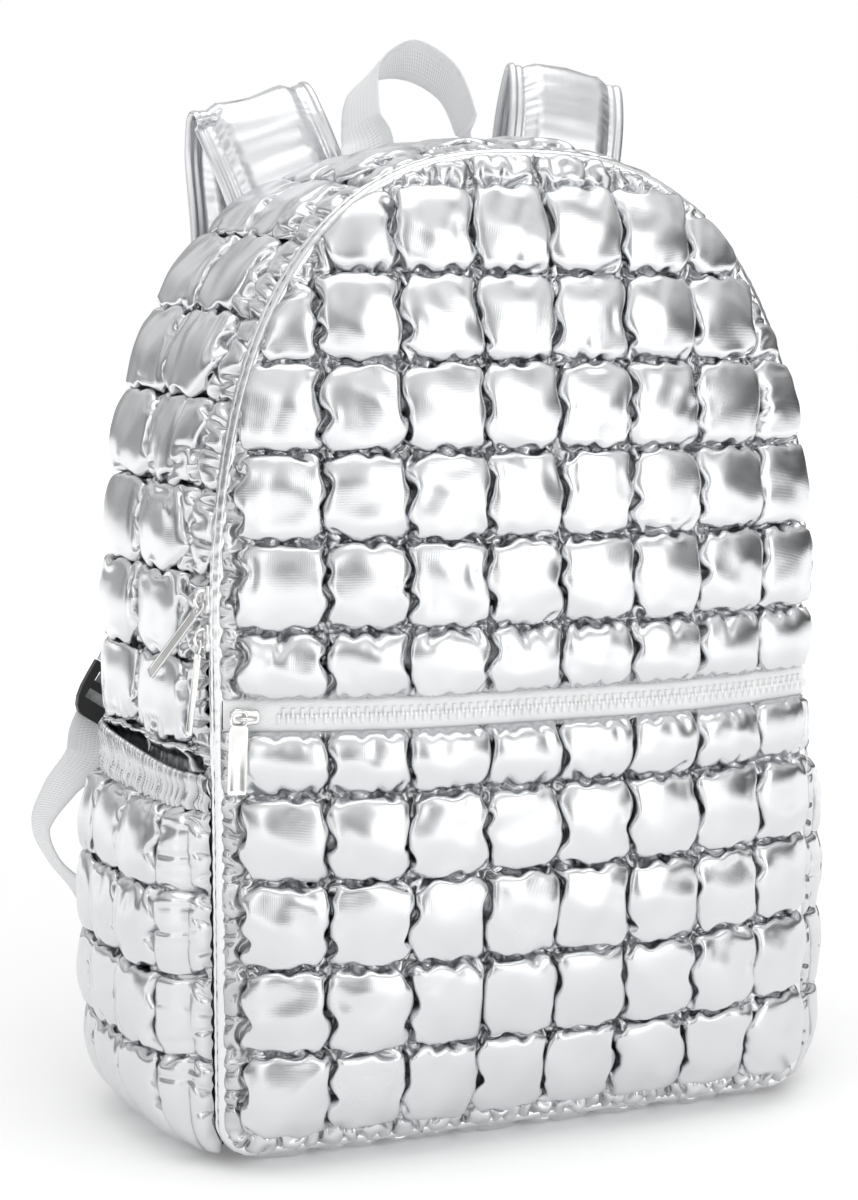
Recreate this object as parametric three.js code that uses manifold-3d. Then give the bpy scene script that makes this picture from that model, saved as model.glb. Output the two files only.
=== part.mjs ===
import * as THREE from 'three';
import { mergeVertices } from 'three/addons/utils/BufferGeometryUtils.js';
import Module from 'manifold-3d';

// A zipped-up quilted puffer backpack, standing on its quilted base.
// X runs across the front to the viewer's right, Y from front to back, Z up; sizes in millimetres.

const wasm = await Module();
wasm.setup();

// Body
const frontHalfWidth = 138;
const bottomSeamHeight = 8;
const sideHeight = 210;
const archHeight = 211;
const archPower = 2.5;
const cornerRadius = 14;
const bodyDepth = 124;
const backFlare = 12;
const gussetBulge = 5;
const topFlattening = 0.75;
const frontCrown = 24;
const crownReach = 109;

// Quilting
const cellWidth = 33.3;
const frontCellHeight = 36.5;
const gussetCellHeight = 36;
const sideShare = 0.36;
const gussetCellWidth = 33.7;
const gussetFirstColumn = 12;
const pocketCellWidth = 24.5;
const pocketFirstColumn = 15;
const pocketCellHeight = 36;
const frontPuff = 7;
const gussetPuff = 9;
const pocketPuff = 6;
const seamWall = 3;
const leftSeamInset = 8;

// Front edge piping and the two zips
const pipingRadius = 2.6;
const frontZipHeight = 182;
const frontTapeWidth = 13;
const tapeThickness = 1.4;
const rowAboveZip = 29;
const rowBelowZip = 27;
const frontTeethWidth = 6.4;
const teethThickness = 2.2;
const mainTapeWidth = 6.8;
const mainTeethWidth = 4;
const teethAbovePocket = 4;
const sliderLength = 12;
const frontSliderWidth = 8.5;
const sliderThickness = 4.4;
const bridgeWire = 0.9;
const bridgeHeight = 4;
const bridgeSpan = 7.5;
const pullEyeRadius = 2.1;
const pullThickness = 1.2;
const frontPullLength = 31;
const frontPullWidth = 8;
const mainPullLength = 37;
const mainPullWidth = 6;
const lowerSliderHeight = 220;
const sliderSpacing = 16;
const frontSliderInset = 8;

// Side pockets
const pocketTop = 148;
const pocketBandHeight = 14;
const pocketBackRise = 9;
const pocketBulge = 19;
const pocketMouth = 13.5;
const pocketNarrowing = 45;
const pocketEase = 6;
const pocketBottomRound = 40;
const pocketBottomInset = 5;

// Back panel
const backThickness = 10;
const backEdgeRound = 3;

// Handle
const webbingWidth = 25;
const webbingThickness = 1.8;
const handleHalfSpan = 27;
const handleRise = 54;
const handleSew = 11;

// Shoulder straps, ladder locks and lower webbing
const strapWidth = 62;
const strapThickness = 9;
const strapBorder = 8;
const strapEdgeThickness = 3.4;
const strapSetting = 61;
const strapShift = 6;
const strapSewDrop = 32;
const strapFoldRise = { left: 31, right: 50 };
const strapEndHeight = 192;
const strapReach = 56;
const strapHang = 24;
const strapEndWidth = 30;
const lockWidth = 32;
const lockHeight = 26;
const lockThickness = 5;
const lockSlot = 5;
const lockBar = 4;
const lowerWebbingWidth = 20;
const webbingSlack = 31;
const webbingAnchorHeight = 22;

const clearance = 0.3;

// Derived places
const frontPlane = -bodyDepth / 2;
const backPlane = bodyDepth / 2;
const springHeight = bottomSeamHeight + sideHeight;
const archTop = springHeight + archHeight;
const pipingPlane = frontPlane + seamWall / 2;
const mainTapeFront = pipingPlane + pipingRadius + clearance;
const gussetFront = mainTapeFront + mainTapeWidth + clearance;
const gussetRear = backPlane - clearance;
const backFront = backPlane;
const backRear = backPlane + backThickness;
const zipLow = bottomSeamHeight + frontZipHeight;
const zipHigh = zipLow + frontTapeWidth;

const colours = {
  fabric: new THREE.MeshStandardMaterial({ color: 0xc9ccd2, roughness: 0.28, metalness: 1 }),
  piping: new THREE.MeshStandardMaterial({ color: 0xd4d7dc, roughness: 0.25, metalness: 1 }),
  tape: new THREE.MeshStandardMaterial({ color: 0xe9eaec, roughness: 0.75, metalness: 0 }),
  teeth: new THREE.MeshStandardMaterial({ color: 0xdfe1e4, roughness: 0.4, metalness: 0 }),
  darkTeeth: new THREE.MeshStandardMaterial({ color: 0x4a4b4e, roughness: 0.4, metalness: 0.6 }),
  nickel: new THREE.MeshStandardMaterial({ color: 0xd8d9db, roughness: 0.22, metalness: 1 }),
  webbing: new THREE.MeshStandardMaterial({ color: 0xd6d8da, roughness: 0.6, metalness: 0 }),
  black: new THREE.MeshStandardMaterial({ color: 0x151516, roughness: 0.4, metalness: 0 }),
};

// A geometry from points and triangles, turned so that its faces point out.
function closedGeometry(points, triangles) {
  let volume = 0;
  for (const [a, b, c] of triangles) {
    volume += points[a].dot(points[b].clone().cross(points[c]));
  }
  const faces = volume < 0 ? triangles.map(([a, b, c]) => [a, c, b]) : triangles;
  const geometry = new THREE.BufferGeometry();
  geometry.setAttribute('position', new THREE.Float32BufferAttribute(points.flatMap((p) => p.toArray()), 3));
  geometry.setIndex(faces.flat());
  return geometry;
}

function toSolid(geometry) {
  const bare = geometry.clone();
  bare.deleteAttribute('normal');
  bare.deleteAttribute('uv');
  const merged = mergeVertices(bare, 1e-4);
  return new wasm.Manifold(new wasm.Mesh({
    numProp: 3,
    vertProperties: Float32Array.from(merged.attributes.position.array),
    triVerts: Uint32Array.from(merged.index.array),
  }));
}

function toGeometry(solid) {
  const mesh = solid.getMesh();
  const geometry = new THREE.BufferGeometry();
  geometry.setAttribute('position', new THREE.BufferAttribute(mesh.vertProperties, 3));
  geometry.setIndex(new THREE.BufferAttribute(mesh.triVerts, 1));
  return geometry;
}

const clamp = (value, low, high) => Math.min(high, Math.max(low, value));
const vector = (x, y, z) => new THREE.Vector3(x, y, z);

const cornerSamples = 8;
const archSamples = 48;

// The body's outline seen from the front, as points a small step apart from the left bottom
// corner over the arch to the right one: corner arc, straight side, superellipse arch.
function outlineSamples() {
  const half = [];
  const quarter = Math.PI / 2;
  for (let i = 0; i <= cornerSamples; i++) {
    const turn = quarter * i / cornerSamples;
    const across = frontHalfWidth - cornerRadius * (1 - Math.sin(turn));
    half.push([across, bottomSeamHeight + cornerRadius * (1 - Math.cos(turn))]);
  }
  half.push([frontHalfWidth, springHeight]);
  for (let i = 1; i <= archSamples; i++) {
    const turn = quarter * i / archSamples;
    const across = frontHalfWidth * Math.cos(turn) ** (2 / archPower);
    half.push([across, springHeight + archHeight * Math.sin(turn) ** (2 / archPower)]);
  }
  half[half.length - 1][0] = 0;
  const left = half.map(([x, z]) => [-x, z]);
  return left.concat(half.slice(0, -1).reverse());
}

const samples = outlineSamples();
const lengths = [0];
for (let i = 1; i < samples.length; i++) {
  const step = Math.hypot(samples[i][0] - samples[i - 1][0], samples[i][1] - samples[i - 1][1]);
  lengths.push(lengths[i - 1] + step);
}
const rimLength = lengths[lengths.length - 1];
const cornerEnd = lengths[cornerSamples];
const normals = samples.map((sample, i) => {
  if (i === 0 || i === samples.length - 1) return [0, -1];
  const alongX = samples[i + 1][0] - samples[i - 1][0];
  const alongZ = samples[i + 1][1] - samples[i - 1][1];
  const size = Math.hypot(alongX, alongZ);
  return [-alongZ / size, alongX / size];
});

// Point and outward normal of the outline at a distance along it.
function rimAt(distance) {
  const s = clamp(distance, 0, rimLength);
  let i = lengths.findIndex((length) => length >= s);
  i = clamp(i, 1, samples.length - 1);
  const share = (s - lengths[i - 1]) / (lengths[i] - lengths[i - 1]);
  const between = (list, axis) => list[i - 1][axis] + share * (list[i][axis] - list[i - 1][axis]);
  return { x: between(samples, 0), z: between(samples, 1), nx: between(normals, 0), nz: between(normals, 1) };
}

// Stations for everything that follows the whole outline, closer together round the corners.
function rimStations() {
  const cornerSteps = 4;
  const sideSteps = 4;
  const archSteps = 18;
  const side = cornerEnd + springHeight - bottomSeamHeight - cornerRadius;
  const half = [];
  for (let k = 0; k < cornerSteps; k++) half.push(cornerEnd * k / cornerSteps);
  for (let k = 0; k < sideSteps; k++) half.push(cornerEnd + (side - cornerEnd) * k / sideSteps);
  for (let k = 0; k <= archSteps; k++) half.push(side + (rimLength / 2 - side) * k / archSteps);
  return half.concat(half.slice(0, -1).map((at) => rimLength - at).reverse());
}

const stations = rimStations();

// Distance along the left side at which the outline reaches a height.
function rimAtHeight(z) {
  const up = z - bottomSeamHeight;
  if (up < cornerRadius) return cornerEnd * Math.acos(1 - up / cornerRadius) * 2 / Math.PI;
  return cornerEnd + up - cornerRadius;
}

// A point of the side band: so far along the outline, so deep, so far out of the seam surface.
function bandPoint(distance, y, out, bulge = gussetBulge) {
  const rim = rimAt(distance);
  const depth = (y - frontPlane) / bodyDepth;
  const inBand = clamp((y - gussetFront) / (gussetRear - gussetFront), 0, 1);
  const profile = Math.sqrt(Math.max(0, 1 - Math.abs(2 * inBand - 1) ** 4));
  const weight = clamp(1 + rim.nz, 0, 1) * (1 - topFlattening * Math.max(0, rim.nz));
  const offset = backFlare * depth * rim.nx ** 2 + bulge * profile * weight + out;
  return vector(rim.x + rim.nx * offset, y, rim.z + rim.nz * offset);
}

// Quilting lines from one edge to the other: seams a pitch apart from a first seam,
// and two raised lines inside each cell.
function quiltLines(start, end, first, pitch) {
  const seams = [start];
  for (let at = first; at < end - pitch * 0.2; at += pitch) {
    if (at > start + pitch * 0.15) seams.push(at);
  }
  seams.push(end);
  const lines = [];
  seams.forEach((seam, i) => {
    lines.push({ at: seam, rise: 0 });
    if (i === seams.length - 1) return;
    const width = seams[i + 1] - seam;
    const rise = clamp(width / (pitch * 0.7), 0, 1);
    lines.push({ at: seam + width * 0.25, rise }, { at: seam + width * 0.75, rise });
  });
  return lines;
}

const plainLines = (list) => list.map((at) => ({ at, rise: 0 }));

// A closed quilted skin over a grid of lines: the outer sheet has every line, the inner sheet
// only the seams, and a rim joins the two.
function quiltedSkin(uLines, vLines, outerPoint, innerPoint) {
  const points = [];
  const triangles = [];
  const rows = vLines.length;
  const outer = (i, j) => i * rows + j;
  for (const u of uLines) {
    for (const v of vLines) points.push(outerPoint(u.at, v.at, u.rise * v.rise));
  }
  const uSeams = uLines.flatMap((line, i) => (line.rise === 0 ? [i] : []));
  const vSeams = vLines.flatMap((line, j) => (line.rise === 0 ? [j] : []));
  const innerStart = points.length;
  const inner = (a, b) => innerStart + a * vSeams.length + b;
  for (const i of uSeams) {
    for (const j of vSeams) points.push(innerPoint(uLines[i].at, vLines[j].at));
  }
  const rise = (i, j) => uLines[i].rise * vLines[j].rise;
  for (let i = 0; i + 1 < uLines.length; i++) {
    for (let j = 0; j + 1 < rows; j++) {
      const [a, b, c, d] = [outer(i, j), outer(i + 1, j), outer(i + 1, j + 1), outer(i, j + 1)];
      const slope = Math.abs(rise(i, j) - rise(i + 1, j + 1)) >= Math.abs(rise(i + 1, j) - rise(i, j + 1));
      if (slope) triangles.push([a, b, c], [a, c, d]);
      else triangles.push([a, b, d], [b, c, d]);
    }
  }
  for (let a = 0; a + 1 < uSeams.length; a++) {
    for (let b = 0; b + 1 < vSeams.length; b++) {
      triangles.push([inner(a, b), inner(a + 1, b + 1), inner(a + 1, b)]);
      triangles.push([inner(a, b), inner(a, b + 1), inner(a + 1, b + 1)]);
    }
  }
  const loop = [];
  const lastU = uLines.length - 1;
  const lastV = rows - 1;
  const add = (i, j) => {
    const a = uSeams.indexOf(i);
    const b = vSeams.indexOf(j);
    loop.push([outer(i, j), a >= 0 && b >= 0 ? inner(a, b) : -1]);
  };
  for (let i = 0; i < lastU; i++) add(i, 0);
  for (let j = 0; j < lastV; j++) add(lastU, j);
  for (let i = lastU; i > 0; i--) add(i, lastV);
  for (let j = lastV; j > 0; j--) add(0, j);
  loop.push(loop[0]);
  let anchor = loop[0][1];
  for (let k = 1; k < loop.length; k++) {
    triangles.push([loop[k][0], loop[k - 1][0], anchor]);
    if (loop[k][1] >= 0) {
      triangles.push([anchor, loop[k][1], loop[k][0]]);
      anchor = loop[k][1];
    }
  }
  return closedGeometry(points, triangles);
}

// A closed solid through rings of equally many points, with flat ends.
function loft(rings) {
  const points = rings.flat();
  const sides = rings[0].length;
  const triangles = [];
  for (let r = 0; r + 1 < rings.length; r++) {
    for (let k = 0; k < sides; k++) {
      const a = r * sides + k;
      const b = r * sides + (k + 1) % sides;
      triangles.push([a, b, b + sides], [a, b + sides, a + sides]);
    }
  }
  const last = (rings.length - 1) * sides;
  for (let k = 1; k + 1 < sides; k++) {
    triangles.push([0, k + 1, k]);
    triangles.push([last, last + k, last + k + 1]);
  }
  return closedGeometry(points, triangles);
}

// Rings of a flat band whose centre line and width direction pass smoothly through table rows.
// Each row has place, across, width and thickness; the section lists [across, outward] offsets.
function bandRings(rows, count, section) {
  const places = new THREE.CatmullRomCurve3(rows.map((row) => row.place), false, 'centripetal');
  const share = (t) => {
    const spot = clamp(t, 0, 1) * (rows.length - 1);
    const i = Math.min(Math.floor(spot), rows.length - 2);
    return [i, spot - i];
  };
  const mix = (t, key) => {
    const [i, part] = share(t);
    return rows[i][key] * (1 - part) + rows[i + 1][key] * part;
  };
  const rings = [];
  for (let k = 0; k <= count; k++) {
    const t = k / count;
    const along = places.getTangent(t);
    const [i, part] = share(t);
    const turned = rows[i].across.clone().lerp(rows[i + 1].across, part);
    const outward = along.clone().cross(turned).normalize();
    const across = outward.clone().cross(along).normalize();
    const centre = places.getPoint(t);
    rings.push(section(mix(t, 'width'), mix(t, 'thickness')).map(([a, b]) => (
      centre.clone().addScaledVector(across, a).addScaledVector(outward, b))));
  }
  return rings;
}

const flatSection = (width, thickness) => [
  [-width / 2, -thickness / 2], [width / 2, -thickness / 2],
  [width / 2, thickness / 2], [-width / 2, thickness / 2],
];

// A padded strap: thin bound borders and a thicker crowned middle.
function strapSection(width, thickness) {
  const edge = strapEdgeThickness / 2;
  const half = width / 2;
  const border = half - strapBorder;
  const top = [[-half, edge], [-border, edge], [-border * 0.6, thickness / 2], [border * 0.6, thickness / 2],
    [border, edge], [half, edge]];
  return top.concat(top.map(([a, b]) => [a, -b]).reverse());
}

const body = new THREE.Group();

function addPart(name, geometry, material) {
  geometry.computeVertexNormals();
  const mesh = new THREE.Mesh(geometry, material);
  mesh.name = name;
  body.add(mesh);
}

// How far the front stands out of the piping plane: nothing at the edge, full further in.
function crownAt(x, z) {
  const above = Math.max(0, z - springHeight) / archHeight;
  const radius = ((Math.abs(x) / frontHalfWidth) ** archPower + above ** archPower) ** (1 / archPower);
  const inside = Math.min((1 - radius) * frontHalfWidth, z - bottomSeamHeight);
  const share = clamp(inside / crownReach, -0.05, 1);
  return frontCrown * (1 - (1 - share) ** 2);
}

// Everything inside the piping, as a prism through the front.
function frontOpening() {
  const inset = pipingRadius + clearance;
  const shape = new THREE.Shape(stations.map((at) => {
    const rim = rimAt(at);
    const height = Math.max(rim.z - rim.nz * inset, bottomSeamHeight + inset);
    return new THREE.Vector2(rim.x - rim.nx * inset, height);
  }));
  const deep = frontCrown + bodyDepth;
  const geometry = new THREE.ExtrudeGeometry(shape, { depth: deep, bevelEnabled: false, curveSegments: 1 });
  geometry.rotateX(Math.PI / 2);
  geometry.translate(0, frontPlane + deep / 2, 0);
  return toSolid(geometry);
}

const opening = frontOpening();
const frontColumns = quiltLines(
  -frontHalfWidth, frontHalfWidth, leftSeamInset - frontHalfWidth, cellWidth);

function frontSkin(rowLines) {
  const edgeFade = cellWidth * 0.3;
  const outer = (x, z, rise) => {
    const fade = clamp(crownAt(x, z) / crownAt(frontHalfWidth - edgeFade, springHeight), 0, 1);
    return vector(x, frontPlane - crownAt(x, z) - frontPuff * rise * fade, z);
  };
  const inner = (x, z) => vector(x, frontPlane - crownAt(x, z) + seamWall, z);
  return toGeometry(toSolid(quiltedSkin(frontColumns, rowLines, outer, inner)).intersect(opening));
}

function addFront() {
  const upperRows = quiltLines(zipHigh + clearance, archTop, zipHigh + rowAboveZip, frontCellHeight);
  addPart('front_panel', frontSkin(upperRows), colours.fabric);
  const below = Math.floor((zipLow - rowBelowZip - bottomSeamHeight) / frontCellHeight);
  const firstSeam = zipLow - rowBelowZip - below * frontCellHeight;
  const lowerRows = quiltLines(bottomSeamHeight, zipLow - clearance, firstSeam, frontCellHeight);
  addPart('front_pocket_panel', frontSkin(lowerRows), colours.fabric);
}

// A strip that follows the crown between two heights, so far in front of the seam surface.
function frontStrip(low, high, from, to, left, right) {
  const columns = [];
  const steps = Math.round((right - left) / (cellWidth / 2));
  for (let k = 0; k <= steps; k++) columns.push(left + (right - left) * k / steps);
  const at = (front) => (x, z) => vector(x, frontPlane - crownAt(x, z) - front, z);
  const strip = quiltedSkin(plainLines(columns), plainLines([low, high]), at(to), at(from));
  return toGeometry(toSolid(strip).intersect(opening));
}

// A slider with its wire bridge, lying in XZ with the bridge standing out towards +Y and the
// zip along X; and the flat pull that hangs from it along -Z, its eye round the bridge's end.
function sliderGeometry(width) {
  const plan = new THREE.Shape();
  const half = sliderLength / 2;
  const wide = width / 2;
  plan.moveTo(-half, -wide * 0.7);
  plan.quadraticCurveTo(-half, -wide, -half * 0.6, -wide);
  plan.lineTo(half, -wide * 0.75);
  plan.lineTo(half, wide * 0.75);
  plan.lineTo(-half * 0.6, wide);
  plan.quadraticCurveTo(-half, wide, -half, wide * 0.7);
  const plate = new THREE.ExtrudeGeometry(plan, {
    depth: sliderThickness, bevelEnabled: false, curveSegments: 3,
  });
  const wire = new THREE.Shape();
  wire.absarc(0, 0, bridgeWire, 0, Math.PI * 2);
  const route = new THREE.CatmullRomCurve3([
    vector(-bridgeSpan / 2, 0, sliderThickness - 1),
    vector(-bridgeSpan / 2, 0, sliderThickness + bridgeHeight * 0.65),
    vector(-bridgeSpan * 0.2, 0, sliderThickness + bridgeHeight),
    vector(bridgeSpan * 0.3, 0, sliderThickness + bridgeHeight),
    vector(bridgeSpan / 2, 0, sliderThickness - 1),
  ], false, 'centripetal');
  const bridge = new THREE.ExtrudeGeometry(wire, { steps: 9, extrudePath: route, curveSegments: 3 });
  return toGeometry(toSolid(plate).add(toSolid(bridge)));
}

function pullGeometry(length, width) {
  const eyeBar = 1.3;
  const outerEye = pullEyeRadius + eyeBar;
  const shape = new THREE.Shape();
  shape.moveTo(-width / 2, outerEye * 0.2);
  shape.lineTo(-width / 2, -length);
  shape.lineTo(width / 2, -length);
  shape.lineTo(width / 2, outerEye * 0.2);
  shape.quadraticCurveTo(width / 2, outerEye, 0, outerEye);
  shape.quadraticCurveTo(-width / 2, outerEye, -width / 2, outerEye * 0.2);
  const eye = new THREE.Path();
  eye.absarc(0, 0, pullEyeRadius, 0, Math.PI * 2);
  shape.holes.push(eye);
  return new THREE.ExtrudeGeometry(shape, { depth: pullThickness, bevelEnabled: false, curveSegments: 4 });
}

// Slider and pull in one turned group: the local X runs along the zip, local Z out of the bag.
function addSlider({ name, place, along, outward, width, pullLength, pullWidth, hang, lift }) {
  const side = outward.clone().cross(along);
  const frame = new THREE.Matrix4().makeBasis(along, side, outward).setPosition(place);
  const slider = sliderGeometry(width);
  slider.applyMatrix4(frame);
  addPart(`${name}_slider`, slider, colours.nickel);
  const pull = pullGeometry(pullLength, pullWidth);
  pull.translate(0, 0, -pullThickness / 2);
  pull.rotateX(-lift);
  pull.rotateZ(hang);
  pull.translate(-bridgeSpan / 2, 0, sliderThickness + bridgeHeight * 0.55);
  pull.applyMatrix4(frame);
  addPart(`${name}_pull`, pull, colours.nickel);
}

function addFrontZip() {
  const middle = (zipLow + zipHigh) / 2;
  const left = frontSliderInset + sliderLength / 2 - frontHalfWidth;
  const tape = frontStrip(zipLow, zipHigh, -tapeThickness, 0, -frontHalfWidth, frontHalfWidth);
  addPart('front_zip_tape', tape, colours.tape);
  const teethBack = clearance;
  const half = frontTeethWidth / 2;
  const teethFront = teethBack + teethThickness;
  const teeth = frontStrip(middle - half, middle + half, teethBack, teethFront, left, frontHalfWidth);
  addPart('front_zip_teeth', teeth, colours.teeth);
  const sliderX = left - sliderLength / 2 - clearance;
  const place = vector(sliderX, frontPlane - crownAt(left, middle) - clearance * 2, middle);
  addSlider({
    name: 'front_zip', place, along: vector(1, 0, 0), outward: vector(0, -1, 0), width: frontSliderWidth,
    pullLength: frontPullLength, pullWidth: frontPullWidth, hang: -0.06, lift: 0.05,
  });
}

// A strip on the outline, between two depths and two offsets, from one distance to another.
function rimStrip(from, to, front, rear, low, high) {
  const stops = [from, ...stations.filter((at) => at > from + 1 && at < to - 1), to];
  const at = (out) => (s, y) => {
    const rim = rimAt(s);
    return vector(rim.x + rim.nx * out, y, rim.z + rim.nz * out);
  };
  return quiltedSkin(plainLines(stops), plainLines([front, rear]), at(high), at(low));
}

function addMainZip() {
  const tape = rimStrip(0, rimLength, mainTapeFront, mainTapeFront + mainTapeWidth, -tapeThickness, 0);
  addPart('main_zip_tape', tape, colours.tape);
  const middle = mainTapeFront + mainTapeWidth / 2;
  const half = mainTeethWidth / 2;
  const outer = clearance + teethThickness;
  const start = rimAtHeight(bottomSeamHeight + pocketTop + pocketBandHeight + teethAbovePocket);
  const firstSlider = rimAtHeight(lowerSliderHeight + bottomSeamHeight);
  const spans = [
    [start, firstSlider - sliderLength / 2 - clearance],
    [firstSlider + sliderSpacing + sliderLength / 2 + clearance, rimLength - start],
  ];
  spans.forEach(([from, to], k) => {
    const strip = rimStrip(from, to, middle - half, middle + half, clearance, outer);
    addPart(k === 0 ? 'main_zip_teeth_lower' : 'main_zip_teeth', strip, colours.darkTeeth);
  });
  const lifts = [0.12, 0.45];
  const swings = [0, 0.5];
  ['lower', 'upper'].forEach((which, k) => {
    const rim = rimAt(firstSlider + sliderSpacing * k);
    const outward = vector(rim.nx, 0, rim.nz);
    const along = vector(rim.nz, 0, -rim.nx);
    const place = vector(rim.x, middle, rim.z).addScaledVector(outward, clearance);
    addSlider({
      name: `main_zip_${which}`, place, along, outward, width: mainTapeWidth - 2 * clearance,
      pullLength: mainPullLength, pullWidth: mainPullWidth, hang: -Math.PI / 2 - swings[k], lift: lifts[k],
    });
  });
}

function addPiping() {
  const around = stations.map((at) => vector(rimAt(at).x, pipingPlane, rimAt(at).z));
  const straight = frontHalfWidth - cornerRadius;
  const bottomSteps = 8;
  for (let k = 1; k < bottomSteps; k++) {
    around.push(vector(straight * (1 - 2 * k / bottomSteps), pipingPlane, bottomSeamHeight));
  }
  const sides = 6;
  const rings = around.map((centre, i) => {
    const before = around[(i + around.length - 1) % around.length];
    const after = around[(i + 1) % around.length];
    const along = after.clone().sub(before).normalize();
    const outward = vector(-along.z, 0, along.x);
    return Array.from({ length: sides }, (_, k) => {
      const turn = Math.PI * 2 * k / sides;
      return centre.clone().addScaledVector(outward, pipingRadius * Math.cos(turn))
        .add(vector(0, pipingRadius * Math.sin(turn), 0));
    });
  });
  const triangles = [];
  for (let r = 0; r < rings.length; r++) {
    const next = (r + 1) % rings.length;
    for (let k = 0; k < sides; k++) {
      const turn = (k + 1) % sides;
      triangles.push([r * sides + k, r * sides + turn, next * sides + turn]);
      triangles.push([r * sides + k, next * sides + turn, next * sides + k]);
    }
  }
  addPart('front_piping', closedGeometry(rings.flat(), triangles), colours.piping);
}

const gussetColumns = quiltLines(gussetFront, gussetRear, gussetFront + gussetFirstColumn, gussetCellWidth);

// The side band in three lengths, quilted where it shows and plain behind the side pockets.
function addGusset() {
  const rows = Math.round(rimLength / gussetCellHeight);
  const pitch = rimLength / rows;
  const hidden = Math.ceil(rimAtHeight(bottomSeamHeight + pocketTop + pocketBandHeight) / pitch);
  const sideRows = Math.round(rows * sideShare);
  const parts = [['gusset_left', 0, sideRows], ['gusset_top', sideRows, rows - sideRows],
    ['gusset_right', rows - sideRows, rows]];
  for (const [name, first, last] of parts) {
    const lines = [];
    for (let row = first; row <= last; row++) {
      const inset = row === first ? clearance / 2 : row === last ? -clearance / 2 : 0;
      lines.push({ at: pitch * row + inset, rise: 0 });
      if (row === last) continue;
      const corner = [cornerEnd / 2, cornerEnd].map((at) => ({ at, rise: 0 }));
      if (row === 0) lines.push(...corner);
      if (row === rows - 1) {
        lines.push(...corner.reverse().map(({ at }) => ({ at: rimLength - at, rise: 0 })));
      }
      if (row < hidden || row >= rows - hidden) continue;
      lines.push({ at: pitch * (row + 0.25), rise: 1 }, { at: pitch * (row + 0.75), rise: 1 });
    }
    const outer = (s, y, rise) => bandPoint(s, y, gussetPuff * rise);
    const inner = (s, y) => bandPoint(s, y, -seamWall);
    addPart(name, quiltedSkin(lines, gussetColumns, outer, inner), colours.fabric);
  }
}

// The base: puffs whose flat crowns all stand on the floor.
function addBase() {
  const half = frontHalfWidth - cornerRadius - clearance;
  const front = mainTapeFront;
  const columns = quiltLines(-half, half, leftSeamInset - frontHalfWidth + cellWidth, cellWidth);
  const rows = quiltLines(front, gussetRear, gussetFront + gussetFirstColumn, gussetCellWidth);
  const outer = (x, y, rise) => vector(x, y, rise > 0 ? 0 : bottomSeamHeight);
  const inner = (x, y) => vector(x, y, bottomSeamHeight + seamWall);
  addPart('base_panel', quiltedSkin(columns, rows, outer, inner), colours.fabric);
}

// A side pocket: a quilted pouch that stands off the band, with a gathered elastic top.
function addPocket(side, sign) {
  const low = pocketBottomInset + bottomSeamHeight;
  const high = bottomSeamHeight + pocketTop;
  const front = mainTapeFront;
  const columns = quiltLines(front, gussetRear, front + pocketFirstColumn, pocketCellWidth);
  const corner = bottomSeamHeight + cornerRadius;
  const rows = [{ at: low, rise: 0 }, { at: (low + corner) / 2, rise: 0 }]
    .concat(quiltLines(corner, high - clearance, high - pocketCellHeight * 4, pocketCellHeight));
  const surface = (z, y, out) => {
    const fullness = 1 - (1 - clamp((z - low) / pocketBottomRound, 0, 1)) ** 2;
    const drawnIn = clamp((z - high + pocketNarrowing) / pocketNarrowing, 0, 1) ** 2;
    const stand = gussetBulge + pocketEase + (pocketBulge - gussetBulge - pocketEase) * fullness
      - (pocketBulge - pocketMouth) * drawnIn;
    const place = bandPoint(rimAtHeight(z), y, out + clearance, stand);
    return vector(-sign * place.x, y, place.z);
  };
  const outer = (y, z, rise) => surface(z, y, seamWall + pocketPuff * rise);
  const inner = (y, z) => surface(z, y, 0);
  addPart(`side_pocket_${side}`, quiltedSkin(columns, rows, outer, inner), colours.fabric);
  const slope = (y, share) => (
    high + share * (pocketBandHeight + pocketBackRise * clamp((y - front) / bodyDepth, 0, 1)));
  const bandColumns = columns.filter((line) => line.rise === 0).map((line) => line.at);
  const fine = bandColumns.flatMap((at, k) => (k === 0 ? [at] : [(at + bandColumns[k - 1]) / 2, at]));
  const band = quiltedSkin(plainLines(fine), plainLines([0, 1]),
    (y, share) => surface(slope(y, share), y, seamWall), (y, share) => surface(slope(y, share), y, 0));
  addPart(`pocket_band_${side}`, band, colours.fabric);
}

// The outline of the back, wider than the front by the flare.
function backShape(inset) {
  return new THREE.Shape(stations.map((at) => {
    const rim = rimAt(at);
    const offset = backFlare * rim.nx ** 2 - inset;
    return new THREE.Vector2(rim.x + rim.nx * offset, rim.z + rim.nz * offset);
  }));
}

const handleCentres = [-handleHalfSpan, handleHalfSpan];

function addBack() {
  const pad = new THREE.ExtrudeGeometry(backShape(backEdgeRound), {
    depth: backThickness - 2 * backEdgeRound, bevelThickness: backEdgeRound, bevelSize: backEdgeRound,
    bevelSegments: 1, curveSegments: 1,
  });
  pad.rotateX(Math.PI / 2);
  pad.translate(0, backRear - backEdgeRound, 0);
  let solid = toSolid(pad);
  for (const centre of handleCentres) {
    const deep = webbingThickness + 2 * clearance;
    const slot = new THREE.BoxGeometry(webbingWidth + 2 * clearance, deep, handleSew * 2);
    slot.translate(centre, backFront + deep / 2, archTop);
    solid = solid.subtract(toSolid(slot));
  }
  addPart('back_panel', toGeometry(solid), colours.fabric);
}

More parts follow.
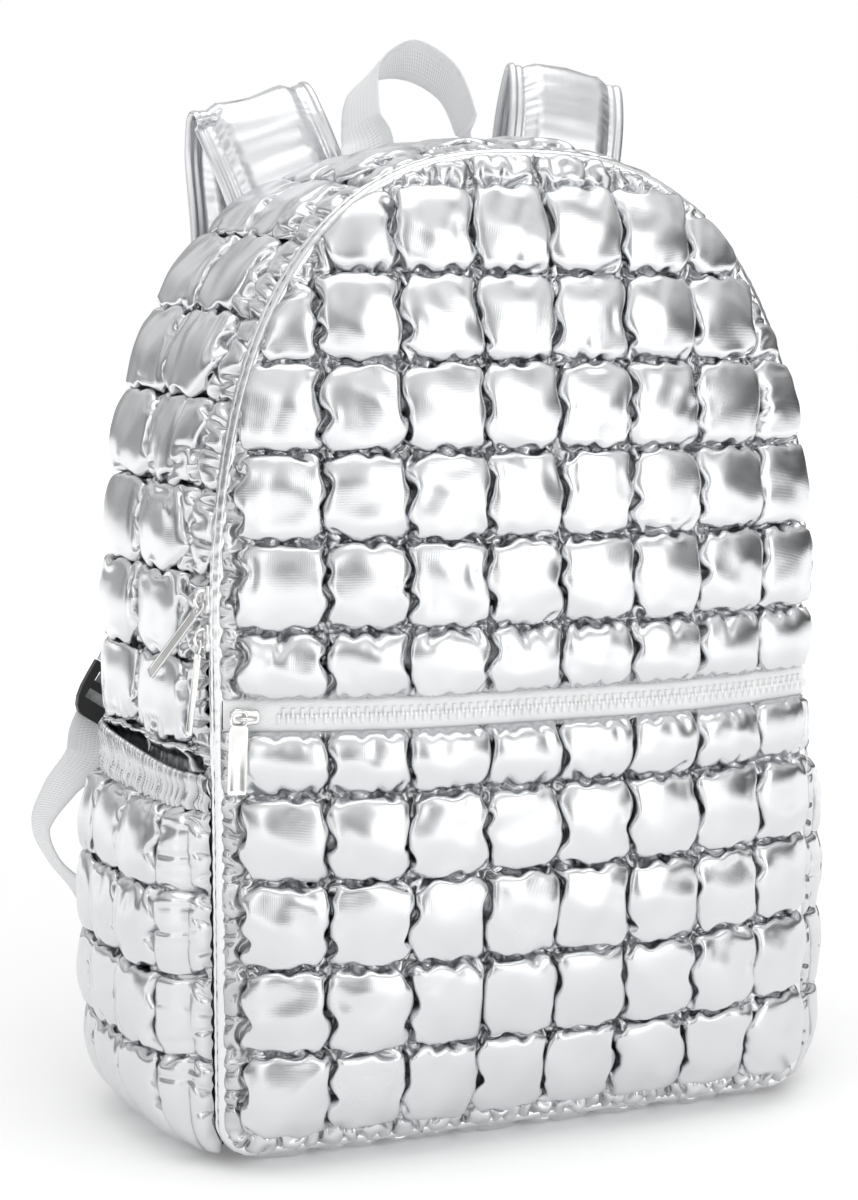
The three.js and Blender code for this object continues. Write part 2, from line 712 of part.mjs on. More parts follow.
// The handle: webbing sewn flat into the back seam at each foot, which turns edge on to the
// front as it rises and leans back at its crest.
function addHandle() {
  const seam = backFront + clearance + webbingThickness / 2;
  const table = [
    // across and up as shares of half span and rise, lean back and turn of the width in degrees
    { across: -1, up: 0, back: 0, turn: 90, tip: 0 },
    { across: -1, up: 0.24, back: 0, turn: 90, tip: 0 },
    { across: -1, up: 0.38, back: 1, turn: 60, tip: 3 },
    { across: -1.08, up: 0.52, back: 3, turn: 28, tip: 12 },
    { across: -0.85, up: 0.84, back: 12, turn: 20, tip: 32 },
    { across: 0, up: 1, back: 18, turn: 8, tip: 42 },
    { across: 0.66, up: 0.84, back: 12, turn: 4, tip: 32 },
    { across: 0.9, up: 0.52, back: 3, turn: 4, tip: 12 },
    { across: 0.96, up: 0.38, back: 1, turn: -50, tip: 3 },
    { across: 1, up: 0.24, back: 0, turn: -90, tip: 0 },
    { across: 1, up: 0, back: 0, turn: -90, tip: 0 },
  ];
  const foot = archTop - handleSew + clearance;
  const rise = handleRise + handleSew;
  const rows = table.map(({ across, up, back, turn, tip }) => {
    const angle = turn * Math.PI / 180;
    const tilt = tip * Math.PI / 180;
    return {
      place: vector(across * handleHalfSpan, seam + back, foot + up * rise),
      across: vector(Math.sin(angle), -Math.cos(angle) * Math.cos(tilt), Math.sin(tilt)),
      width: webbingWidth,
      thickness: webbingThickness,
    };
  });
  addPart('handle', loft(bandRings(rows, 32, flatSection)), colours.webbing);
}

// A shoulder strap: sewn to the top of the back, up and over a tight fold, then down behind
// the bag and outwards to its ladder lock. Both lie a little to the right at the top.
const strapPath = [
  // rise: share of the way from the sewn end to the fold; drop: share of the way from the fold
  // to the lower end; back and out: shares of the hang and the reach; tilt: degrees by which
  // the outer edge lies lower; out and tilt are given for the left and the right strap.
  { rise: 0, back: 0.03, out: [0, 0], tilt: [0, 0], width: 1 },
  { rise: 0.35, back: 0.06, out: [0.1, 0.2], tilt: [20, 12], width: 1 },
  { rise: 0.8, back: 0.3, out: [0.28, 0.33], tilt: [22, 8], width: 1 },
  { rise: 1, back: 0.62, out: [0.36, 0.36], tilt: [18, 9], width: 1 },
  { drop: 0.06, back: 0.98, out: [0.34, 0.34], tilt: [14, 7], width: 1 },
  { drop: 0.22, back: 1.08, out: [0.26, 0.28], tilt: [6, 3], width: 1 },
  { drop: 0.42, back: 1.08, out: [0.24, 0.24], tilt: [-4, -4], width: 1 },
  { drop: 0.62, back: 1, out: [0.46, 0.46], tilt: [-20, -20], width: 0.95 },
  { drop: 0.82, back: 0.85, out: [0.86, 0.86], tilt: [-30, -30], width: 0.72 },
  { drop: 1, back: 0.72, out: [1.4, 1.4], tilt: [-24, -24], width: 0.5 },
];

function addStrap(side, sign) {
  const hold = backRear + clearance + strapThickness / 2;
  const sewn = archTop - strapSewDrop;
  const fold = archTop + strapFoldRise[side];
  const which = side === 'left' ? 0 : 1;
  const rows = strapPath.map(({ rise, drop, back, out, tilt, width }) => {
    const height = rise === undefined ? fold + (strapEndHeight - fold) * drop : sewn + (fold - sewn) * rise;
    const angle = tilt[which] * Math.PI / 180;
    const shift = strapShift * (1 - (drop ?? 0));
    const x = sign * (strapSetting + out[which] * strapReach) + shift;
    return {
      place: vector(x, hold + back * strapHang, height),
      across: vector(sign * Math.cos(angle), 0, -Math.sin(angle)),
      width: Math.max(strapEndWidth, strapWidth * width),
      thickness: strapThickness,
    };
  });
  addPart(`shoulder_strap_${side}`, loft(bandRings(rows, 24, strapSection)), colours.fabric);
  return endFrame(rows);
}

// The lower end of a strap: where it is, which way it runs on, its width and its rear side.
function endFrame(rows) {
  const last = rows[rows.length - 1];
  const along = last.place.clone().sub(rows[rows.length - 2].place).normalize();
  const rear = along.clone().cross(last.across).normalize();
  if (rear.y < 0) rear.negate();
  const across = rear.clone().cross(along).normalize();
  return { place: last.place, along, across, rear };
}

function addLock(side, end) {
  const shape = new THREE.Shape();
  const half = lockWidth / 2;
  shape.moveTo(-half, -lockHeight * 0.3);
  shape.quadraticCurveTo(-half, -lockHeight, -half * 0.5, -lockHeight);
  shape.lineTo(half * 0.5, -lockHeight);
  shape.quadraticCurveTo(half, -lockHeight, half, -lockHeight * 0.3);
  shape.lineTo(half, 0);
  shape.lineTo(-half, 0);
  const slotHalf = half - lockBar;
  [lockBar, lockBar * 2 + lockSlot].forEach((from) => {
    const slot = new THREE.Path();
    slot.moveTo(-slotHalf, -from);
    slot.lineTo(slotHalf, -from);
    slot.lineTo(slotHalf, -from - lockSlot);
    slot.lineTo(-slotHalf, -from - lockSlot);
    slot.closePath();
    shape.holes.push(slot);
  });
  const frame = new THREE.ExtrudeGeometry(shape, {
    depth: lockThickness, bevelEnabled: false, curveSegments: 5,
  });
  frame.translate(0, -clearance * 2, -lockThickness / 2);
  const up = end.along.clone().negate();
  const basis = new THREE.Matrix4().makeBasis(up.clone().cross(end.rear), up, end.rear);
  frame.applyMatrix4(basis.setPosition(end.place));
  addPart(`ladder_lock_${side}`, frame, colours.black);
}

// The lower webbing: out from behind the lock in a slack bow, and back to the bottom corner.
const webbingPath = [
  // down: share of the span; out: share of the slack; back: share of the way to the back
  // panel; turn of the width in degrees, from across the back to front-to-back
  { down: 0, out: 0, back: 0, turn: 0 },
  { down: 0.09, out: 0.14, back: 0, turn: 20 },
  { down: 0.19, out: 0.62, back: 0, turn: 50 },
  { down: 0.31, out: 1, back: 0.02, turn: 78 },
  { down: 0.42, out: 0.9, back: 0.08, turn: 80 },
  { down: 0.54, out: 0.5, back: 0.2, turn: 60 },
  { down: 0.7, out: 0.15, back: 0.5, turn: 30 },
  { down: 0.86, out: 0.03, back: 0.84, turn: 8 },
  { down: 1, out: 0, back: 1, turn: 0 },
];

function addLowerWebbing(side, sign, end) {
  const stand = clearance + webbingThickness / 2;
  const behind = end.place.clone().addScaledVector(end.rear, lockThickness / 2 + stand);
  const top = behind.clone().addScaledVector(end.along, lockBar);
  const start = behind.clone().addScaledVector(end.along, lockHeight + lockBar);
  const anchorX = sign * (frontHalfWidth + backFlare - cornerRadius);
  const anchor = vector(anchorX, backRear + stand + clearance * 2, webbingAnchorHeight);
  const across = end.across.x * sign > 0 ? end.across : end.across.clone().negate();
  const rows = webbingPath.map(({ down, out, back, turn }) => {
    const angle = turn * Math.PI / 180;
    return {
      place: vector(start.x + (anchor.x - start.x) * down + sign * out * webbingSlack,
        start.y + (anchor.y - start.y) * back, start.z + (anchor.z - start.z) * down),
      across: vector(sign * Math.cos(angle), Math.sin(angle), 0),
      width: lowerWebbingWidth,
      thickness: webbingThickness,
    };
  });
  const first = { place: top, across, width: lowerWebbingWidth, thickness: webbingThickness };
  addPart(`lower_webbing_${side}`, loft(bandRings([first, ...rows], 26, flatSection)), colours.webbing);
}

addFront();
addPiping();
addFrontZip();
addMainZip();
addGusset();
addBase();
addBack();
addHandle();
for (const [side, sign] of [['left', -1], ['right', 1]]) {
  addPocket(side, sign);
  const end = addStrap(side, sign);
  addLock(side, end);
  addLowerWebbing(side, sign, end);
}

// The origin is the middle of the footprint, on the floor.
const box = new THREE.Box3().setFromObject(body);
body.position.set(-(box.min.x + box.max.x) / 2, -(box.min.y + box.max.y) / 2, 0);
body.updateMatrixWorld(true);

export default body;
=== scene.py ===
import bpy
import numpy as np
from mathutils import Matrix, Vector


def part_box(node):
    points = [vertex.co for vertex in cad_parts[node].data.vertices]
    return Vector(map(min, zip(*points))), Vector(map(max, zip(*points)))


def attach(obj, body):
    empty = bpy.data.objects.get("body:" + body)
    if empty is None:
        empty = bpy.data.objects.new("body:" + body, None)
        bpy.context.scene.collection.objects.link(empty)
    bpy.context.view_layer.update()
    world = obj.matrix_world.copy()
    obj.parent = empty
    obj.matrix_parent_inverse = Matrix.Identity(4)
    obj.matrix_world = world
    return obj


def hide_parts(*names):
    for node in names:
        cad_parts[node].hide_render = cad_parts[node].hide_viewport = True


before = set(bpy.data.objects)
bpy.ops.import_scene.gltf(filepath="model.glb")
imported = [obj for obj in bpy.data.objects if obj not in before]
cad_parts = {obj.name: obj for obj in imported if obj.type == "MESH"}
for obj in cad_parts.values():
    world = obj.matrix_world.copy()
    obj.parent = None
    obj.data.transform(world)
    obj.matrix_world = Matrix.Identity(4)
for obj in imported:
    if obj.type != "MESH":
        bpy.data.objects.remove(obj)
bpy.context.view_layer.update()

# Camera: a view from the front left, a little above the middle of the bag. All places below are in
# millimetres from the middle of the bag's body on the floor, and bag_origin takes them to the frame.
piping_box = np.array(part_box("front_piping")) * 1000
piping_middle = piping_box.mean(axis=0)
bag_origin = np.array([piping_middle[0], piping_middle[1] + 60.5, 0.0])
camera_turn, camera_rise = np.radians([-21.5, 6.6])
camera_distance = 1058.0
camera_target = bag_origin + [-24.75, -10.0, 234.2]
camera_back = np.array([np.sin(camera_turn) * np.cos(camera_rise),
                        -np.cos(camera_turn) * np.cos(camera_rise), np.sin(camera_rise)])
camera = bpy.data.objects.new("camera", bpy.data.cameras.new("camera"))
bpy.context.scene.view_settings.view_transform = "Standard"
camera.data.lens = 70.455
camera.data.sensor_width = 36.0
camera.data.clip_start = 0.05
camera.location = (camera_target + camera_back * camera_distance) / 1000
camera.rotation_euler = Vector(-camera_back).to_track_quat("-Z", "Y").to_euler()
bpy.context.collection.objects.link(camera)
bpy.context.scene.camera = camera


class Wire:
    """A shader socket that takes part in Python expressions; each operator adds its Math node."""

    def __init__(self, tree, socket):
        self.tree = tree
        self.socket = socket

    def math(self, operation, *values):
        return add_node(self.tree, "ShaderNodeMath", {"operation": operation}, [self, *values])[0]

    def __add__(self, other):
        return self.math("ADD", other)

    def __mul__(self, other):
        return self.math("MULTIPLY", other)

    def __sub__(self, other):
        return self.math("SUBTRACT", other)

    def __rsub__(self, other):
        return add_node(self.tree, "ShaderNodeMath", {"operation": "SUBTRACT"}, [other, self])[0]

    __radd__ = __add__
    __rmul__ = __mul__


def add_node(tree, kind, settings=None, inputs=None):
    """One shader node: its settings first, then its sockets' values or links; returns its outputs."""
    node = tree.nodes.new(kind)
    for name, value in (settings or {}).items():
        if name == "stops":
            elements = node.color_ramp.elements
            while len(elements) < len(value):
                elements.new(0.5)
            for element, (place, colour) in zip(elements, value):
                element.position = place
                element.color = colour if len(colour) == 4 else (*colour, 1.0)
        else:
            setattr(node, name, value)
    pairs = enumerate(inputs) if isinstance(inputs, list) else (inputs or {}).items()
    for key, value in pairs:
        if value is None:
            continue
        if isinstance(value, Wire):
            tree.links.new(value.socket, node.inputs[key])
        else:
            node.inputs[key].default_value = value
    return [Wire(tree, output) for output in node.outputs if output.enabled]


def new_finish(name):
    """An empty material with its output; returns the material and its node tree."""
    material = bpy.data.materials.new(name)
    material.use_nodes = True
    material.node_tree.nodes.clear()
    return material, material.node_tree


def finish_with(tree, shader):
    """Links the last shader to the material's output."""
    add_node(tree, "ShaderNodeOutputMaterial", {}, {"Surface": shader})


def eased(tree, value, low, high, at_low, at_high):
    """at_low below low, at_high above high, and an S-shaped change between them."""
    return add_node(tree, "ShaderNodeMapRange", {"interpolation_type": "SMOOTHSTEP"},
                    [value, low, high, at_low, at_high])[0]


def noise(tree, place, scale, detail, settings=None, more=None):
    """Noise over a place, or over the object's own box when the place is None."""
    return add_node(tree, "ShaderNodeTexNoise", settings,
                    {"Vector": place, "Scale": scale, "Detail": detail, **(more or {})})[0]


def two_tones(tree, value, low, dark, high, light):
    """A colour that goes from dark at low to light at high."""
    return add_node(tree, "ShaderNodeValToRGB", {"stops": [(low, dark), (high, light)]},
                    {"Fac": value})[0]


# Studio: pale paper on the floor with a painted glow, emission that brightens away from the bag until
# it meets the white behind, and soft white light from the front and the top. The far left and right
# of the room stay dim, so that the sides of the folds reflect something dark.
floor_side = 12.0
floor_mesh = bpy.data.meshes.new("floor")
floor_mesh.from_pydata([(-floor_side, -floor_side, 0), (floor_side, -floor_side, 0),
                        (floor_side, floor_side, 0), (-floor_side, floor_side, 0)], [], [(0, 1, 2, 3)])
floor = bpy.data.objects.new("floor", floor_mesh)
bpy.context.collection.objects.link(floor)
paper, tree = new_finish("studio_paper")
tone = two_tones(tree, noise(tree, None, 6.0, 3.0), 0.3, (0.93, 0.93, 0.93), 0.7, (0.96, 0.96, 0.96))
place = add_node(tree, "ShaderNodeTexCoord")[3]
far = add_node(tree, "ShaderNodeVectorMath", {"operation": "LENGTH"}, [place])[0]
# Painted glow: the paper emits light, 0.14 near the bag, rising to 0.6 between 0.5 m and 1.4 m out.
glow_near, glow_far = 0.14, 0.6
glow = eased(tree, far, 0.5, 1.4, glow_near, glow_far)
finish_with(tree, add_node(tree, "ShaderNodeBsdfPrincipled", {},
                           {"Base Color": tone, "Roughness": 0.9, "Specular IOR Level": 0.2,
                            "Emission Color": glow, "Emission Strength": 1.0})[0])
paper.cycles.emission_sampling = "NONE"
floor_mesh.materials.append(paper)

world = bpy.data.worlds.new("studio")
world.use_nodes = True
tree = world.node_tree
tree.nodes.clear()
bpy.context.scene.world = world
direction = add_node(tree, "ShaderNodeTexCoord")[0]
across, _, up = add_node(tree, "ShaderNodeSeparateXYZ", {}, [direction])
wall_light, ceiling_light, dim_right, dim_left = 0.42, 0.95, 0.82, 0.6
level = eased(tree, up, 0.0, 0.5, wall_light, ceiling_light)
rightward = eased(tree, across, 0.6, 0.9, 0.0, dim_right)
leftward = eased(tree, across, -0.98, -0.75, dim_left, 0.0)
low = eased(tree, up, 0.1, 0.6, 1.0, 0.0)
patches = eased(tree, noise(tree, direction, 2.6, 2.0), 0.36, 0.6, 0.55, 1.12)
seen = add_node(tree, "ShaderNodeLightPath")[0]
strength = level * patches * (1 - (rightward + leftward) * low) * (1 - seen) + seen
finish_tree = add_node(tree, "ShaderNodeBackground", {}, {"Color": (1, 1, 1, 1), "Strength": strength})[0]
add_node(tree, "ShaderNodeOutputWorld", {}, {"Surface": finish_tree})


def add_softbox(name, place, aim, size, power):
    """A square area light at a place, turned to its aim; power in watts."""
    light = bpy.data.lights.new(name, "AREA")
    light.shape = "RECTANGLE"
    light.size, light.size_y = size
    light.energy = power
    lamp = bpy.data.objects.new(name, light)
    lamp.location = place
    lamp.rotation_euler = (Vector(aim) - Vector(place)).to_track_quat("-Z", "Y").to_euler()
    bpy.context.collection.objects.link(lamp)


add_softbox("front_softbox", (0.55, -1.8, 0.65), (0, 0, 0.25), (1.3, 1.1), 6.0)
add_softbox("left_softbox", (-1.25, -1.3, 0.6), (0, 0, 0.25), (0.5, 1.1), 1.6)
add_softbox("top_softbox", (0.0, -0.3, 1.6), (0, 0, 0.2), (1.5, 1.1), 7.0)


# Quilted front: foil-coated nylon over wadding, in one panel above the front zip and one below it.
# Straight seams part it into puffs, and the fabric is cut longer than the bag, so it gathers along
# every seam. The outline is a corner arc, a straight side and a superellipse arch.
half_width, low_seam, spring, arch_rise, arch_power, corner = 138.0, 8.0, 218.0, 211.0, 2.5, 14.0
front_plane, body_depth, back_flare = -62.0, 124.0, 12.0
crown_height, crown_reach = 24.0, 109.0
zip_low, zip_high = 190.0, 203.0
front_columns = [-138.0, -130.0, -96.7, -63.4, -30.1, 3.2, 36.5, 69.8, 103.1, 138.0]
upper_rows = [203.0, 232.0, 268.5, 305.0, 341.5, 378.0, 414.5, 429.0]
lower_rows = [8.0, 17.0, 53.5, 90.0, 126.5, 163.0, 190.0]


def outline_curve():
    """Left half from the bottom corner to the crest: arc, straight, superellipse; then mirrored.
    Returns places (x, z), outward normals and distances along, at steps of about 1 mm."""
    turn = np.linspace(0, np.pi / 2, 25)
    arc = np.stack([half_width - corner * (1 - np.sin(turn)), low_seam + corner * (1 - np.cos(turn))], 1)
    side = np.stack([np.full(198, half_width), np.linspace(low_seam + corner, spring, 198)], 1)
    turn = np.linspace(0, np.pi / 2, 400)[1:]
    arch = np.stack([half_width * np.clip(np.cos(turn), 0, 1) ** (2 / arch_power),
                     spring + arch_rise * np.sin(turn) ** (2 / arch_power)], 1)
    half = np.concatenate([arc, side[1:], arch])
    half[-1, 0] = 0
    places = np.concatenate([half * [-1, 1], half[-2::-1]])
    distances = np.concatenate([[0], np.cumsum(np.hypot(*np.diff(places, axis=0).T))])
    tangent = np.gradient(places, axis=0)
    tangent /= np.hypot(*tangent.T)[:, None]
    return places, np.stack([-tangent[:, 1], tangent[:, 0]], 1), distances


outline, outline_normal, outline_length = outline_curve()
rim_length = outline_length[-1]


def rim_at(distance):
    """Place and outward normal of the outline at a distance along it, by linear interpolation."""
    value = [np.interp(distance, outline_length, column) for column in (*outline.T, *outline_normal.T)]
    return value[0], value[1], value[2], value[3]


def nearest_rim(x, z):
    """Signed distance to the outline, positive inside, and the distance along it of the nearest place."""
    flat = np.stack([x.ravel(), z.ravel()], 1)
    best = np.full(len(flat), 1e9)
    where = np.zeros(len(flat), int)
    for start in range(0, len(outline), 100):
        gap = ((flat[:, None] - outline[None, start:start + 100]) ** 2).sum(-1)
        closest = gap.argmin(1)
        value = gap[np.arange(len(flat)), closest]
        better = value < best
        best[better] = value[better]
        where[better] = closest[better] + start
    side = ((flat - outline[where]) * outline_normal[where]).sum(1)
    return (-np.sign(side) * np.sqrt(best)).reshape(x.shape), outline_length[where].reshape(x.shape)


def crown_at(x, z):
    """How far the front stands out: nothing at the outline, the full crown well inside, as a parabola."""
    above = np.maximum(0, z - spring) / arch_rise
    radius = ((np.abs(x) / half_width) ** arch_power + above ** arch_power) ** (1 / arch_power)
    inside = np.minimum((1 - radius) * half_width, z - low_seam)
    share = np.clip(inside / crown_reach, -0.05, 1)
    return crown_height * (1 - (1 - share) ** 2)


def wavy(distance, wavelength, seed):
    """Uneven waves between -1 and 1: a sine whose phase wanders by a few slower sines."""
    rng = np.random.default_rng(seed)
    phase = distance * 2 * np.pi / wavelength
    for share in (0.13, 0.29, 0.47):
        phase = phase + rng.uniform(0.7, 1.3) * np.sin(distance * 2 * np.pi / wavelength * share
                                                       + rng.uniform(0, 7))
    return np.sin(phase + rng.uniform(0, 7))


def seam_lines(lines, step):
    """Grid values from the first line to the last that hit every seam, about a step apart; returns the
    values, the seam number of each (or -1) and the cell number of each."""
    values, seams, cells = [lines[0]], [0], [0]
    for number, (low, high) in enumerate(zip(lines[:-1], lines[1:])):
        count = max(2, int(round((high - low) / step)))
        values += list(np.linspace(low, high, count + 1)[1:])
        seams += [-1] * (count - 1) + [number + 1]
        cells += [number] * count
    return np.array(values), np.array(seams), np.array(cells)


def link(place, first, second, rest, strength, only_push=False):
    """Moves two slices of points towards the rest distance between them, half the way each."""
    a, b = place[first], place[second]
    gap = b - a
    size = np.sqrt((gap * gap).sum(-1)) + 1e-6
    share = (1 - rest / size) * (0.5 * strength)
    if only_push:
        share = np.minimum(share, 0)
    gap *= share[..., None]
    a += gap
    b -= gap


def puff_up(u_lines, v_lines, step, ease, rounds, seed, edge=None, over=((0, 0), (0, 0)), push=0.3,
            full=6.5, wander=(1.9, 0.9), straight=(), lower=(0.15, 0.42), gather=(0.7, 2.0),
            fold=0.8, dome=(0.4, 0.6)):
    """Cloth simulation on a flat sheet: points a step apart, joined along, across and on the diagonals
    by links that are longer than the sheet by the ease, pushed out by wadding along their normals,
    and held on every seam, where the thread gathers them into uneven waves. Neighbouring puffs
    meet at the seam's own wavy plane or leave small pockets along it. The wadding gives way above
    the full height, a low dome over each cell that is lower over narrow cells and loses the two
    lower shares of its height at the u and v seams, as a sine to the dome's powers. It thins out over
    the last 18 mm before the outline. wander is how far the seams stray, gather the size of their
    waves, and fold the share of its length to which the cloth may be creased. over says how far the
    outer puffs may swell past the sheet's edges, and straight names v seams that aren't gathered.
    edge(u, v) gives the distance to the sheet's outline and the place along it. Returns u, v, the
    points as (u, v, out), and each point's distance inside the outline before it moved."""
    rng = np.random.default_rng(seed)
    u, u_seam, u_cell = seam_lines(u_lines, step)
    v, v_seam, v_cell = seam_lines(v_lines, step)
    grid_u, grid_v = np.meshgrid(u, v, indexing="ij")
    wave_along_u, wave_along_v, tight_wave, slow_wave, calm = 16.0, 9.0, 8.5, 15.0, 4
    pocket_u, pocket_v, open_height, seam_wall, rim_fade, narrow_cell = 2.4, 2.2, 6.0, 0.15, 18, 24
    inertia, shear, crease_stiffness, give = 0.92, 0.35, 0.4, 0.16
    held = (u_seam[:, None] >= 0) | (v_seam[None, :] >= 0)
    out = np.zeros(grid_u.shape)
    shift_u = np.zeros(grid_u.shape)
    shift_v = np.zeros(grid_u.shape)
    calm_u = np.prod([np.clip(np.abs(u - line) / calm, 0, 1) for line in u_lines], axis=0)
    calm_v = np.prod([np.clip(np.abs(v - line) / calm, 0, 1) for line in v_lines], axis=0)
    wave_u = np.stack([wander[0] * calm_v * wavy(v, wave_along_u, seed * 31 + k)
                       for k in range(len(u_lines))])
    wave_v = np.stack([wander[1] * calm_u * wavy(u, wave_along_v, seed * 29 + k)
                       for k in range(len(v_lines))])
    wave_u[[0, -1]] = 0
    wave_v[[0, -1]] = 0
    for k in straight:
        wave_v[k] = 0
    for i in np.flatnonzero(u_seam >= 0):
        out[i] = (gather[0] * wavy(v, tight_wave, seed * 97 + i) + 0.2) * calm_v
        shift_u[i] = wave_u[u_seam[i]]
    for j in np.flatnonzero(v_seam >= 0):
        gathered = v_seam[j] not in straight
        out[:, j] = (gather[1] * wavy(u, tight_wave, seed * 89 + j) + 0.6) * calm_u * gathered
        shift_v[:, j] = wave_v[v_seam[j]]
    inside = None
    if edge is not None:
        inside, along = edge(grid_u, grid_v)
        outer = inside < step * 0.6
        held |= outer
        rim_seam = outer & ~np.isin(v_seam, straight)[None, :]
        out = np.where(rim_seam, 1.0 * (wavy(along, 8.0, seed * 71) + 0.2), out)
        shift_u = np.where(outer, 0, shift_u)
        shift_v = np.where(outer, 0, shift_v)
    place = np.stack([grid_u + shift_u, grid_v + shift_v, out], -1).astype(np.float32)
    fixed = place[held].copy()
    free = ~held
    place[..., 2] += np.where(free, 1.0 + 0.8 * rng.random(grid_u.shape), 0)
    wall_u = np.array(u_lines)[:, None] + wave_u
    wall_v = np.array(v_lines)[:, None] + wave_v
    for wall, (start, end) in ((wall_u, over[0]), (wall_v, over[1])):
        wall[0] -= start
        wall[-1] += end
    walls = [wall_u[u_cell], wall_u[u_cell + 1], wall_v[v_cell].T, wall_v[v_cell + 1].T]
    pockets = []
    for side in (0, 1):
        rows = [wavy(v, slow_wave, seed * 17 + k + 50 * side) - 0.25 for k in range(len(u_lines))]
        pockets.append(pocket_u * np.maximum(0, np.stack(rows))[u_cell + side])
    for side in (0, 1):
        rows = [wavy(u, tight_wave, seed * 89 + k + 50 * side) for k in range(len(v_lines))]
        gathered = np.array([k not in straight for k in range(len(v_lines))])[:, None]
        pockets.append((pocket_v * np.sqrt(np.maximum(0, np.stack(rows))) * gathered)[v_cell + side].T)
    walls, pockets = ([part.astype(np.float32) for part in parts] for parts in (walls, pockets))
    side_u = (np.diff(u)[:, None] * ease[0] * np.ones((1, len(v)))).astype(np.float32)
    side_v = (np.diff(v)[None, :] * ease[1] * np.ones((len(u), 1))).astype(np.float32)
    slant = np.sqrt(side_u[:, :-1] ** 2 + side_v[:-1, :] ** 2)
    span_u, span_v = np.diff(u_lines), np.diff(v_lines)
    across = np.sin(np.pi * np.clip((u - np.array(u_lines)[u_cell]) / span_u[u_cell], 0, 1))
    down = np.sin(np.pi * np.clip((v - np.array(v_lines)[v_cell]) / span_v[v_cell], 0, 1))
    narrow = np.clip(np.minimum(span_u[u_cell][:, None], span_v[v_cell][None, :]) / narrow_cell, 0.3, 1)
    uneven = 1 + 0.12 * rng.uniform(-1, 1, (len(span_u), len(span_v)))[u_cell][:, v_cell]
    dents = 1 + 0.09 * wavy(u[:, None] + 0.4 * v[None, :], 21.0, seed + 3) * wavy(
        v[None, :] - 0.3 * u[:, None], 24.0, seed + 4)
    full = full * dents * narrow * uneven * 1.15
    full = full * (1 - lower[0] * (1 - across[:, None] ** dome[0]))
    full = full * (1 - lower[1] * (1 - down[None, :] ** dome[1]))
    if inside is not None:
        full = full * (0.15 + 0.85 * np.clip(inside / rim_fade, 0, 1) ** 0.75)
    full = full.astype(np.float32)
    before = place.copy()
    every = slice(None)
    pairs_u, pairs_v = ([(slice(start, count - 1, 2), slice(start + 1, count, 2)) for start in (0, 1)]
                        for count in (len(u), len(v)))
    for _ in range(rounds):
        run_u = np.zeros_like(place)
        run_v = np.zeros_like(place)
        run_u[1:-1] = place[2:] - place[:-2]
        run_v[:, 1:-1] = place[:, 2:] - place[:, :-2]
        normal = np.cross(run_u, run_v)
        normal /= np.sqrt((normal * normal).sum(-1, keepdims=True)) + 1e-6
        speed = (place - before) * inertia
        before = place.copy()
        place += speed + normal * push
        for _ in range(3):
            for (a, b), (c, d) in zip(pairs_u, pairs_v):
                link(place, (a, every), (b, every), side_u[a], 1.0)
                link(place, (every, c), (every, d), side_v[:, c], 1.0)
            for a, b in pairs_u:
                link(place, (a, slice(0, -1)), (b, slice(1, None)), slant[a], shear)
                link(place, (a, slice(1, None)), (b, slice(0, -1)), slant[a], shear)
            place[held] = fixed
        for start in range(4):
            a, b = slice(start, len(u) - 2, 4), slice(start + 2, len(u), 4)
            rest = (u[b] - u[a])[:, None] * ease[0] * fold
            link(place, (a, every), (b, every), rest, crease_stiffness, True)
            a, b = slice(start, len(v) - 2, 4), slice(start + 2, len(v), 4)
            rest = (v[b] - v[a])[None, :] * ease[1] * fold
            link(place, (every, a), (every, b), rest, crease_stiffness, True)
        open_up = np.clip(place[..., 2] / open_height, 0, 1)
        for axis in (0, 1):
            low, high = walls[2 * axis:2 * axis + 2]
            low_pocket, high_pocket = pockets[2 * axis:2 * axis + 2]
            kept = np.clip(place[..., axis], low + seam_wall + low_pocket * open_up,
                           high - seam_wall - high_pocket * open_up)
            place[..., axis] = np.where(free, kept, place[..., axis])
        tall = np.maximum(place[..., 2], -0.3)
        tall = tall - np.maximum(tall - full, 0) * give
        place[..., 2] = np.where(free, tall, place[..., 2])
        place[held] = fixed
    soft = place.copy()
    soft[1:-1, 1:-1] = place[1:-1, 1:-1] * 0.5 + (place[2:, 1:-1] + place[:-2, 1:-1] + place[1:-1, 2:]
                                                  + place[1:-1, :-2]) * 0.125
    place = np.where(free[..., None], soft, place)
    return u, v, place, inside


def finer(points):
    """Twice as many points on each axis, the new ones by the four-point rule (9, 9, -1, -1) / 16."""
    for axis in (0, 1):
        rows = np.moveaxis(points, axis, 0)
        padded = np.concatenate([2 * rows[:1] - rows[1:2], rows, 2 * rows[-1:] - rows[-2:-1]])
        between = (9 * (padded[1:-2] + padded[2:-1]) - padded[:-3] - padded[3:]) / 16
        result = np.empty((2 * len(rows) - 1, *rows.shape[1:]), rows.dtype)
        result[0::2] = rows
        result[1::2] = between
        points = np.moveaxis(result, 0, axis)
    return points


def grid_of(first, second):
    """Every pair of a first and a second value, as a grid of places."""
    return np.stack(np.meshgrid(first, second, indexing="ij"), -1)


def painted_shade_height(flat, u_lines, v_lines):
    """Height out of the seams' surface, which sets the painted shade in the seams: counted 3.5 mm more
    along the v seams, which lie open and bright, so that they get less painted shade, unless a u seam
    is near; both fade out as a bell curve of the distance to the seam."""
    near_u = np.min([np.abs(flat[..., 0] - line) for line in u_lines], axis=0)
    near_v = np.min([np.abs(flat[..., 1] - line) for line in v_lines], axis=0)
    return flat[..., 2] + 3.5 * np.exp(-(near_v / 4) ** 2) * (1 - np.exp(-(near_u / 2.5) ** 2))


def add_piece(name, mesh, finish):
    """A smooth piece in one finish, which stays with the bag."""
    mesh.polygons.foreach_set("use_smooth", np.ones(len(mesh.polygons), bool))
    mesh.materials.append(finish)
    piece = bpy.data.objects.new(name, mesh)
    bpy.context.collection.objects.link(piece)
    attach(piece, "root")
    return piece


